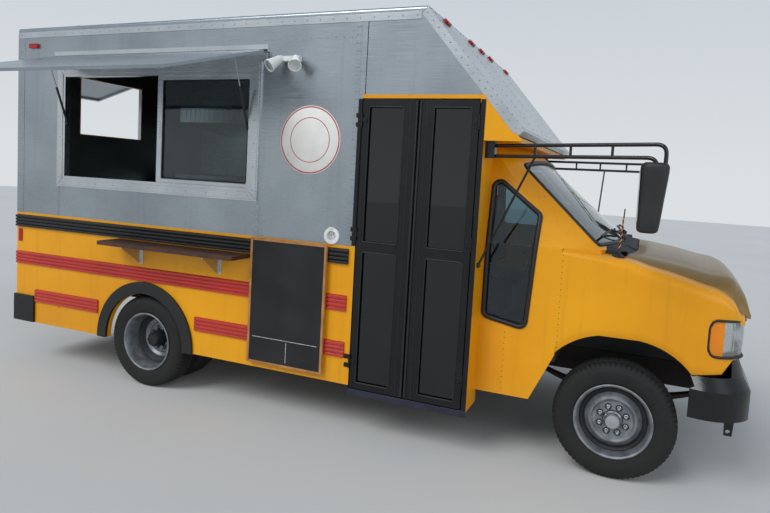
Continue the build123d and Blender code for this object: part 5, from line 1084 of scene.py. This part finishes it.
def side_rivets(side, lift, start, end, pitch, radius=0.0055, height=0.0028):
    """Rivet heads on a side of the box, lifted off it, from one x and z to another."""
    y = side * SIDE + side * lift
    return rivet_row((start[0], y, start[1]), (end[0], y, end[1]), pitch, (0, side, 0), radius, height)


def back_rivets(start, end, pitch):
    """Rivet heads on the rear wall's sheet, from one y and z to another."""
    return rivet_row((REAR - ON_STRIP, *start), (REAR - ON_STRIP, *end), pitch, (-1, 0, 0))


def outward(side, depth):
    """The two y values, lower first, between a side of the box and a distance outside it."""
    face = side * SIDE
    return sorted((face, face + side * depth))


def slope_at(z, off=0.0):
    """X and z on the roof's slope at height z, off its face."""
    share = (RIDGE[1] - z) / (RIDGE[1] - SLOPE_FOOT[1])
    x = RIDGE[0] + (SLOPE_FOOT[0] - RIDGE[0]) * share
    return x + off * SLOPE_OUT.x, z + off * SLOPE_OUT.z


def frame_line(x, y, z, wide):
    """Four mitred bars round an opening, each a thin raised strip."""
    outer = [(x[0], z[0]), (x[1], z[0]), (x[1], z[1]), (x[0], z[1])]
    inner = [(x[0] + wide, z[0] + wide), (x[1] - wide, z[0] + wide), (x[1] - wide, z[1] - wide),
             (x[0] + wide, z[1] - wide)]
    bars = []
    for k in range(4):
        n = (k + 1) % 4
        gap = 0.0007
        corners = [outer[k], outer[n], inner[n], inner[k]]
        middle = [sum(c[i] for c in corners) / 4 for i in (0, 1)]
        corners = [(a + (middle[0] - a) * gap * 3, b + (middle[1] - b) * gap * 3) for a, b in corners]
        bars.append(slab([(a, y[0], b) for a, b in corners], (0, y[1] - y[0], 0)))
    return bars


STRIP_TOP = 2.790
WALL_SEAMS = {-1: (-1.742,), 1: (-3.70, -2.70, -1.742)}
strips, rivets, painted, gables, seam_shadows = [], [], [], [], []
for side in (-1, 1):
    face = side * SIDE
    skin = outward(side, 0.0022)
    for x in WALL_SEAMS[side]:
        strips.append(box((x - 0.019, x + 0.019), skin, (BELT, STRIP_TOP)))
        for off in (-0.010, 0.010):
            rivets += side_rivets(side, ON_STRIP, (x + off, BELT + 0.03), (x + off, 2.76), 0.052)
    if side < 0:
        strips.append(box((-1.716, -1.680), skin, (2.318, STRIP_TOP)))
        # A thin black strip along the seam strip's edge: painted shadow of the gap beside it
        seam_shadows.append(box((-1.6800, -1.6765), outward(side, 0.0026), (2.318, STRIP_TOP)))
        for x in (-4.488, -2.490):
            strips.append(box((x - 0.016, x + 0.016), skin, (BELT, 1.557)))
            rivets += side_rivets(side, ON_STRIP, (x, BELT + 0.02), (x, 1.54), 0.052)
        rivets += side_rivets(side, 0, (-2.470, 2.695), (-1.73, 2.695), 0.062)
    gables.append(box((REAR + 0.01, -1.315), outward(side, 0.004), (STRIP_TOP, 2.838)))
    rivets += side_rivets(side, 0.004, (REAR + 0.04, 2.815), (-1.34, 2.815), 0.100)
    strips.append(box((REAR - 0.0022, REAR + 0.075), skin, (BELT, 2.830)))
    rivets += side_rivets(side, ON_STRIP, (REAR + 0.045, BELT + 0.03), (REAR + 0.045, 2.78), 0.052)
    outline = [slope_at(z, off) for z, off in (
        (2.862, -0.004), (2.122, -0.004), (2.122, -0.060), (2.862, -0.060))]
    gables.append(slab([(x, face, z) for x, z in outline], (0, side * 0.0022, 0)))
    rivets += side_rivets(side, ON_STRIP, slope_at(2.845, -0.030), slope_at(2.140, -0.030), 0.060)
    for front_x, z in ((-1.76, 1.020), (-4.06, 0.700)):
        painted += side_rivets(side, 0, (-4.93, z), (front_x, z), 0.075, 0.005, 0.0022)
    painted += side_rivets(side, 0, (-2.90, 0.700), (-1.76, 0.700), 0.075, 0.005, 0.0022)
    for x, foot in ((-4.94, 0.66), (-3.90, 1.03), (-2.80, 0.66), (-1.78, 0.66)):
        painted += side_rivets(side, 0, (x, foot), (x, 1.27), 0.055, 0.005, 0.0022)
piece("seam_strips", "body", sheet_aluminium, strips, bevel=0.001)
piece("slope_edges", "body", bright_aluminium, gables, bevel=0.001)
# Painted shadow: black strips that stand for the shadow in a seam's gap
piece("painted_seam_shadow", "body", epdm_rubber, seam_shadows, sharp=40)
piece("side_rivets", "body", zinc_plate, rivets, sharp=60)
piece("painted_rivets", "body", yellow_enamel, painted, sharp=60)

slope_rivets = []
for y in (-1.175, -0.60, 0.0, 0.60, 1.175):
    (x0, z0), (x1, z1) = slope_at(2.860), slope_at(2.125)
    slope_rivets += rivet_row((x0, y, z0), (x1, y, z1), 0.050, SLOPE_OUT)
for z in (2.862, 2.120):
    x, z = slope_at(z)
    slope_rivets += rivet_row((x, -1.15, z), (x, 1.15, z), 0.075, SLOPE_OUT)
piece("slope_rivets", "body", zinc_plate, slope_rivets, sharp=60)

roof_seams, roof_rivets = [], []
deck = ROOF + ON_STRIP
for x in (-4.30, -3.60, -2.70, -2.00):
    roof_seams.append(box((x - 0.018, x + 0.018), (-1.180, 1.180), (ROOF, deck)))
    for off in (-0.010, 0.010):
        roof_rivets += rivet_row((x + off, -1.17, deck), (x + off, 1.17, deck), 0.078, (0, 0, 1))
piece("roof_seams", "body", sheet_aluminium, roof_seams, bevel=0.0008)
piece("roof_rivets", "body", zinc_plate, roof_rivets, sharp=60)

# Serving window: bright mitred lines, the sliding sash and its latch
(window_low, window_high), (sill_z, head_z) = WINDOW
SASH_Y = (-1.1895, -1.1870)
LINE_FACE = -1.2175
bright = frame_line((window_low - 0.066, window_high + 0.066), (-1.2145, LINE_FACE),
                    (sill_z - 0.066, head_z + 0.066), 0.052)
for x, z in (((-3.442, -3.398), (1.650, 2.452)), ((-3.396, -2.582), (2.430, 2.456)),
             ((-3.396, -2.582), (1.648, 1.672))):
    bright.append(box(x, SASH_Y, z))
bright.append(box((-3.432, -3.408), (-1.2000, -1.1890), (1.990, 2.110)))
piece("window_lines", "body", bright_aluminium, bright, bevel=0.0012)
screws = []
for x in (window_low - 0.040, window_high + 0.040):
    screws += rivet_row((x, LINE_FACE, sill_z), (x, LINE_FACE, head_z), 0.16, (0, -1, 0), 0.005, 0.002)
for z in (sill_z - 0.040, head_z + 0.040):
    screws += rivet_row((window_low, LINE_FACE, z), (window_high, LINE_FACE, z), 0.18, (0, -1, 0),
                        0.005, 0.002)
piece("window_screws", "body", zinc_plate, screws, sharp=60)
# Black rubber round the sash pane, and a black strip under the drip rail above the hatch: the strip is
# painted shadow between the hatch and the rail
piece("window_seals_and_hatch_shadow", "body", epdm_rubber, [
    box((-4.515, -2.440), (-1.2216, -1.2196), (2.6130, 2.6290)),
    tube(rounded([(x, -1.187, z) for x, z in (
        (-3.388, 1.684), (-2.604, 1.684), (-2.604, 2.424), (-3.388, 2.424))], 0.012), 0.004, 8, closed=True)],
    sharp=60)

# Hatch: rivets along its folded edges and its middle rib
hatch_along = Vector((0, -math.cos(DROOP), -math.sin(DROOP)))
hatch_up = Vector((0, -math.sin(DROOP), math.cos(DROOP)))
pin = Vector((0, *HATCH_PIN))
hatch_rivets = []
for s in (0.030, 0.985):
    at = pin + hatch_along * s + hatch_up * 0.0005
    a, b = (at + Vector((x, 0, 0)) for x in (HATCH_X[0] + 0.02, HATCH_X[1] - 0.02))
    hatch_rivets += rivet_row(a, b, 0.068, hatch_up)
for x in (HATCH_X[0] + 0.018, -3.4775, HATCH_X[1] - 0.018):
    a, b = (pin + hatch_along * s + hatch_up * 0.0005 + Vector((x, 0, 0)) for s in (0.06, 0.96))
    hatch_rivets += rivet_row(a, b, 0.068, hatch_up)


# Board, shelf and the other fittings on the right side
def laid_frame(x, z, y, wide, deep):
    """Four boards round a panel, the rails running between the stiles."""
    rail = (x[0] + wide + 0.001, x[1] - wide - 0.001), (y - deep + 0.001, y)
    return [box((x[0], x[0] + wide), (y - deep, y), z), box((x[1] - wide, x[1]), (y - deep, y), z),
            box(*rail, (z[0], z[0] + wide)), box(*rail, (z[1] - wide, z[1]))]


BOARD_X, BOARD_Z = (-2.501, -1.886), (0.395, 1.300)
piece("board_frame", "body", pale_pine, laid_frame(BOARD_X, BOARD_Z, -1.2223, 0.017, 0.022), bevel=0.0015,
      stands_for=["menu_board"])
panel = box((BOARD_X[0] + 0.015, BOARD_X[1] - 0.015), (-1.2383, -1.2240),
            (BOARD_Z[0] + 0.015, BOARD_Z[1] - 0.015))
piece("board_panel", "body", chalkboard, [panel], bevel=0.0008, stands_for=["menu_board"])
piece("board_hangers", "body", pale_pine, [
    box((x - 0.012, x + 0.012), (-1.2225, -1.1995), z)
    for x in (-2.40, -1.99) for z in ((0.50, 0.54), (1.20, 1.24))], bevel=0.0015)
divider_z = BOARD_Z[0] + 0.21 * (BOARD_Z[1] - BOARD_Z[0])
piece("board_chalk", "body", chalk, [
    box((BOARD_X[0] + 0.040, BOARD_X[1] - 0.045), (-1.2387, -1.2380), (divider_z, divider_z + 0.004)),
    box((-2.180, -2.176), (-1.2387, -1.2380), (BOARD_Z[0] + 0.035, divider_z - 0.012))], sharp=40)

SHELF_X, SHELF_Y, SHELF_Z = (-3.797, -2.530), (-1.435, -1.200), (1.143, 1.171)
outline = rounded([(SHELF_X[0], SHELF_Y[0], SHELF_Z[0]), (SHELF_X[1], SHELF_Y[0], SHELF_Z[0]),
                   (SHELF_X[1], SHELF_Y[1], SHELF_Z[0]), (SHELF_X[0], SHELF_Y[1], SHELF_Z[0])],
                  [0.030, 0.030, 0.001, 0.001])
piece("shelf_board", "body", stained_pine, [slab(outline, (0, 0, SHELF_Z[1] - SHELF_Z[0]))], bevel=0.003,
      stands_for=["service_shelf"])
brackets = []
for x in (-3.556, -2.800):
    web = ((-1.205, 1.000), (-1.205, 1.143), (-1.405, 1.143), (-1.405, 1.129), (-1.218, 1.000))
    brackets.append(slab([(x - 0.003, y, z) for y, z in web], (0.006, 0, 0)))
    brackets.append(box((x - 0.020, x + 0.020), (-1.206, -1.200), (0.995, 1.143)))
    brackets.append(box((x - 0.020, x + 0.020), (-1.405, -1.200), (1.138, 1.1428)))
    brackets += [dome((x + off, -1.206, z), (0, -1, 0), 0.006, 0.003)
                 for off in (-0.012, 0.012) for z in (1.02, 1.09)]
piece("shelf_brackets", "body", bright_aluminium, brackets, bevel=0.001, stands_for=["service_shelf"])

heads, panes = [], []
for x, turn in ((-2.310, -0.045), (-2.200, 0.050)):
    back, face = Vector((x, -1.240, 2.560)), Vector((x + turn, -1.325, 2.492))
    axis = (face - back).normalized()
    length = (face - back).length
    bell = [(TIP, 0.0), (0.016, 0.002), (0.026, 0.012), (0.031, 0.040), (0.036, 0.070),
            (0.044, length - 0.012), (0.046, length - 0.004), (0.0455, length), (0.0405, length),
            (0.0400, length - 0.008), (0.030, length - 0.040), (TIP, length - 0.045)]
    pane = [(0.0400, length - 0.005), (0.030, length - 0.002), (TIP, length - 0.001)]
    heads.append(lathe(bell, back, axis, 40))
    heads.append(tube([back + axis * 0.010 + Vector((0, 0, 0.018)), (x, -1.236, 2.566)], 0.009, 10))
    panes.append(lathe(pane, back, axis, 32))
heads.append(box((-2.330, -2.170), (-1.242, -1.2005), (2.540, 2.574)))
piece("flood_lights_white", "body", white_abs, heads, bevel=0.0015, stands_for=["flood_lights"])
piece("flood_light_panes", "body", clear_lens, panes, sharp=60)

# Power inlet: its ring, the hinge of its lid, and its core with three pins
INLET = (-1.874, -1.200, 1.362)
ring = [(0.0345, 0.0085), (0.0345, 0.0120), (0.0450, 0.0130), (0.0560, 0.0110), (0.0585, 0.0060),
        (0.0585, 0.0002), (0.0350, 0.0002)]
lid_hinge = box((-1.892, -1.856), (-1.220, -1.206), (1.412, 1.422))
piece("power_inlet_ring", "body", white_abs, [lathe(ring, INLET, (0, -1, 0), 48), lid_hinge], bevel=0.0008)
core = [lathe([(0.0335, -0.018), (0.0335, -0.021), (TIP, -0.021)], INLET, (0, -1, 0), 32)]
for a in (math.pi / 2, math.pi * 7 / 6, math.pi * 11 / 6):
    at = (INLET[0] + 0.015 * math.cos(a), INLET[1], INLET[2] + 0.015 * math.sin(a))
    core.append(lathe([(0.0045, -0.021), (0.0045, -0.004), (TIP, -0.003)], at, (0, -1, 0), 12))
piece("power_inlet_core", "body", white_abs, core, sharp=40)

# Lamps round the top and at the back
LAMP_DOME = [(0.050, 0.006), (0.050, 0.018), (0.046, 0.024), (0.030, 0.029), (TIP, 0.030)]
LAMP_BEAD = [(0.050, 0.0), (0.050, 0.016), (0.053, 0.018), (0.058, 0.014), (0.060, 0.004), (0.060, 0.0)]
red_lamps, amber_lamps, beads = [], [], []
for y in (-0.940, -0.310, 0.0, 0.310, 0.940):
    x, z = slope_at(2.821)
    base = Vector((x, y, z))
    down = Vector((SLOPE_OUT.z, 0, -SLOPE_OUT.x))
    for shapes, grow, low, high in ((red_lamps, 0.0, 0.001, 0.020), (beads, 0.004, 0.0, 0.0035)):
        corners = [base + down * a + Vector((0, b, 0)) for a, b in (
            (-0.020 - grow, -0.048 - grow), (0.020 + grow, -0.048 - grow), (0.020 + grow, 0.048 + grow),
            (-0.020 - grow, 0.048 + grow))]
        shapes.append(slab([p + SLOPE_OUT * low for p in rounded(corners, 0.014)], SLOPE_OUT * (high - low)))
for y in (-0.940, -0.180, 0.0, 0.180, 0.940):
    red_lamps.append(box((REAR - 0.022, REAR), (y - 0.045, y + 0.045), (2.720, 2.756)))
for side in (-1, 1):
    red_lamps.append(box((-4.830, -4.735), outward(side, 0.021), (2.702, 2.740)))
    for z, shapes in ((1.100, red_lamps), (1.245, amber_lamps)):
        centre = (REAR, side * 1.010, z)
        shapes.append(lathe(LAMP_DOME, centre, (-1, 0, 0), 40))
        beads.append(lathe(LAMP_BEAD, centre, (-1, 0, 0), 40))
    red_lamps.append(box((REAR - 0.012, REAR), sorted((side * 0.905, side * 1.115)), (0.700, 0.780)))
    red_lamps.append(box((-4.950, -4.905), outward(side, 0.008), (1.050, 1.160)))
piece("red_lamps", "body", red_lens, red_lamps, bevel=0.003, stands_for=["signal_lamps"])
piece("amber_lamps", "body", amber_lens, amber_lamps, bevel=0.003, stands_for=["signal_lamps"])
piece("lamp_beads", "body", epdm_rubber, beads, sharp=50, stands_for=["signal_lamps"])
piece("rear_plate", "body", white_abs, [
    box((REAR - 0.006, REAR - 0.001), (0.420, 0.725), (0.640, 0.790))], bevel=0.002)

piece("hatch_rivets", "serving_hatch", zinc_plate, hatch_rivets, sharp=60)

# The plain round sign
SIGN = (-2.080, -SIDE, 2.008)
disc = [(TIP, 0.0016), (0.234, 0.0016), (0.235, 0.0010), (0.235, 0.0)]
piece("round_sign", "body", white_vinyl, [lathe(disc, SIGN, (0, -1, 0), 64)], sharp=40)
piece("sign_rings", "body", red_vinyl, [
    lathe([(r0, 0.0014), (r0, 0.0022), (r1, 0.0022), (r1, 0.0014)], SIGN, (0, -1, 0), 64)
    for r0, r1 in ((0.222, 0.230), (0.150, 0.155))], sharp=40)


# Rear wall: aluminium sheet above the belt, round the flap's opening
def round_flap(x, half, z, gap, lap):
    """Four sheets round the flap's opening, a gap off its edges, between two z values."""
    (y0, y1), (z0, z1) = FLAP
    return [box(x, (-half, y0 - gap), z), box(x, (y1 + gap, half), z),
            box(x, (y0 - lap, y1 + lap), (z[0], z0 - gap)), box(x, (y0 - lap, y1 + lap), (z1 + gap, z[1]))]


piece("rear_sheet", "body", sheet_aluminium, round_flap(
    (REAR - 0.0020, REAR), 1.196, (BELT, 2.828), 0.004, 0.003), bevel=0.0006)
(flap_y0, flap_y1), (flap_z0, flap_z1) = FLAP
rear_rivets = []
for y in (-1.165, 0.60, 1.165):
    rear_rivets += back_rivets((y, BELT + 0.03), (y, 2.80), 0.055)
for z in (BELT + 0.025, 2.805):
    rear_rivets += back_rivets((-1.13, z), (1.13, z), 0.075)
for y in (flap_y0 - 0.022, flap_y1 + 0.022):
    rear_rivets += back_rivets((y, flap_z0), (y, flap_z1), 0.075)
rear_rivets += back_rivets((flap_y0, flap_z0 - 0.022), (flap_y1, flap_z0 - 0.022), 0.075)
piece("rear_rivets", "body", zinc_plate, rear_rivets, sharp=60)

# Cab seams: dark fixings along the wing's rear edge and beside the door
seam_spots = []
for x, low, high in ((-0.362, 0.78, 1.40), (-0.690, 0.46, 0.83)):
    for side in (-1, 1):
        y = side * 1.0073
        seam_spots += rivet_row((x, y, low), (x, y, high), 0.036, (0, side, 0), 0.003, 0.0015)
piece("cab_seam_spots", "body", chassis_paint, seam_spots, sharp=60)

# Inside the kitchen: sheet lining on the walls, and the cook line's fronts
LINING_Z = (0.800, 2.820)
REAR_LINED = -4.935
# For each side, the x and z of its sheets
WALL_LINING = {
    -1: (((REAR_LINED, -4.425), LINING_Z), ((-2.552, -1.720), LINING_Z),
         ((-4.425, -2.552), (2.485, LINING_Z[1])), ((-4.425, -2.552), (LINING_Z[0], 1.620))),
    1: (((REAR_LINED, -1.290), (2.150, 2.700)), ((-2.095, -1.290), (LINING_Z[0], 2.150)))}
lining = []
for side, sheets in WALL_LINING.items():
    face = sorted((side * LINED, side * (LINED - 0.0015)))
    lining += [box(x, face, z) for x, z in sheets]
lining += round_flap((REAR_LINED - 0.0015, REAR_LINED), 1.155, LINING_Z, 0.01, 0.01)
for y in (flap_y0 + 0.0008, flap_y1 - 0.0008):
    lining.append(box((REAR + 0.001, REAR_LINED), (y - 0.0008, y + 0.0008), (flap_z0, flap_z1)))
for z in (flap_z0 + 0.0008, flap_z1 - 0.0008):
    lining.append(box((REAR + 0.001, REAR_LINED), (flap_y0, flap_y1), (z - 0.0008, z + 0.0008)))
piece("kitchen_lining", "body", brushed_stainless, lining, sharp=40)

# The extractor hood's ribs, evenly spaced along its front
RIBS = 40
RIBS_FROM, RIBS_LONG = -4.585, 2.37
hood_front = []
for k in range(RIBS):
    x = RIBS_FROM + RIBS_LONG * k / (RIBS - 1)
    hood_front.append(box((x - 0.004, x + 0.004), (0.3985, 0.4030), (2.262, 2.390)))
piece("hood_ribs", "body", brushed_stainless, hood_front, bevel=0.001)

fronts, handles, knobs, grates = [], [], [], []
APPLIANCES = (
    # x from, x to, top z
    (-4.700, -3.890, 1.690), (-3.880, -3.070, 1.670), (-3.060, -2.560, 1.700), (-2.550, -2.100, 1.650))
KNOB = [(0.024, 0.0), (0.024, 0.006), (0.018, 0.010), (0.016, 0.028), (TIP, 0.030)]
GRATE_PITCH = 0.045
for x0, x1, top in APPLIANCES:
    fronts.append(box((x0 + 0.030, x1 - 0.030), (0.4560, 0.4620), (0.960, top - 0.230)))
    handles.append(tube([(x0 + 0.10, 0.456, top - 0.270), (x0 + 0.10, 0.425, top - 0.270),
                         (x1 - 0.10, 0.425, top - 0.270), (x1 - 0.10, 0.456, top - 0.270)], 0.008, 10))
    count = 5 if x1 - x0 > 0.6 else 3
    for k in range(count):
        x = x0 + (x1 - x0) * (k + 0.5) / count
        knobs.append(lathe(KNOB, (x, 0.462, top - 0.130), (0, -1, 0), 20))
    for k in range(int((x1 - x0 - 0.08) / GRATE_PITCH)):
        x = x0 + 0.05 + GRATE_PITCH * k
        grates.append(box((x, x + 0.012), (0.530, 1.080), (top - 0.001, top + 0.012)))
piece("appliance_doors", "body", brushed_stainless, fronts, bevel=0.004)
piece("appliance_handles", "body", bright_aluminium, handles, sharp=60)
piece("appliance_knobs", "body", black_plastic, knobs, sharp=50)
piece("burner_grates", "body", black_iron, grates, bevel=0.002)

# Driver's seat: a black pedestal with sewn vinyl cushions
SEAT_Y = (0.320, 0.800)
middle_y = sum(SEAT_Y) / 2
SEAT_FOOT = ((-1.190, 0.702), (-0.840, 0.702), (-0.860, 0.930), (-1.170, 0.930))
SEAT_PAN = ((-1.198, 0.930), (-0.800, 0.930), (-0.800, 0.950), (-1.198, 0.950))
SEAT_SHELL = ((-1.200, 0.950), (-1.170, 0.950), (-1.215, 1.660), (-1.232, 1.660))
pedestal = []
for outline, inset in ((SEAT_FOOT, 0.05), (SEAT_PAN, 0.03), (SEAT_SHELL, 0.05)):
    wide = SEAT_Y[1] - SEAT_Y[0] - 2 * inset
    pedestal.append(slab([(x, SEAT_Y[0] + inset, z) for x, z in outline], (0, wide, 0)))
piece("seat_pedestal", "body", black_plastic, pedestal, bevel=0.006, stands_for=["driver_seat"])
seat_pad = piece("seat_cushion", "body", seat_vinyl, cushion(
    (-0.970, middle_y, 1.012), (1, 0, -0.08), (0, 1, 0), (0.225, 0.235, 0.062), 0.05,
    (-0.35, 0.05, 0.45)), sharp=75, stands_for=["driver_seat"])
back_pad = piece("seat_back", "body", seat_vinyl, cushion(
    (-1.135, middle_y, 1.380), (-0.175, 0, 1), (0, -1, 0), (0.300, 0.225, 0.050), 0.06,
    (-0.4, 0.0, 0.4)), sharp=75, stands_for=["driver_seat"])


# The stage: a pale floor, a pale world and two soft lamps
def set_stage():
    """A plain floor and even studio light."""
    floor = bpy.data.meshes.new("stage_floor")
    ring = [(40 * math.cos(a), 40 * math.sin(a), -0.0005) for a in (2 * math.pi * k / 96 for k in range(96))]
    floor.from_pydata(ring, [], [tuple(range(96))])
    stage = bpy.data.objects.new("stage_floor", floor)
    scene.collection.objects.link(stage)
    floor.materials.append(finish("stage_paint", ("D3D3D1", "CFCFCD"), (0.85, 0.95), patch=3000, relief=0.0))
    world = bpy.data.worlds.new("studio")
    scene.world = world
    world.use_nodes = True
    tree = world.node_tree
    tree.nodes.clear()
    path = add_node(tree, "ShaderNodeLightPath")
    seen = add_node(tree, "ShaderNodeMath", {
        0: path.outputs["Is Camera Ray"], 1: path.outputs["Is Glossy Ray"]}, operation="MAXIMUM")
    seen = add_node(tree, "ShaderNodeMath", {0: seen.outputs[0], 1: path.outputs["Is Transmission Ray"]},
                    operation="MAXIMUM")
    way = add_node(tree, "ShaderNodeTexCoord").outputs["Generated"]
    height = add_node(tree, "ShaderNodeSeparateXYZ", {"Vector": way}).outputs["Z"]
    share = add_node(tree, "ShaderNodeMapRange", {"Value": height, "From Min": 0.0, "From Max": 0.75})
    tone = add_node(tree, "ShaderNodeMix", {
        0: share.outputs[0], 6: srgb("DCE0E3"), 7: srgb("A7B6C6")}, data_type="RGBA").outputs[2]
    strength = add_node(tree, "ShaderNodeMapRange", {"Value": seen.outputs[0], "To Min": 0.75, "To Max": 1.0})
    sky = add_node(tree, "ShaderNodeBackground", {"Color": tone, "Strength": strength.outputs[0]})
    add_node(tree, "ShaderNodeOutputWorld", {"Surface": sky.outputs[0]})
    for name, aim, power, spread in (
            ("key", (0.35, 0.75, -0.75), 1.5, 30), ("fill", (-0.6, 0.5, -0.35), 0.7, 50)):
        lamp = bpy.data.lights.new(name, "SUN")
        lamp.energy = power
        lamp.angle = math.radians(spread)
        holder = bpy.data.objects.new(name, lamp)
        scene.collection.objects.link(holder)
        holder.rotation_mode = "QUATERNION"
        holder.rotation_quaternion = Vector(aim).to_track_quat("-Z", "Y")


set_stage()
scene.view_settings.view_transform = "Standard"
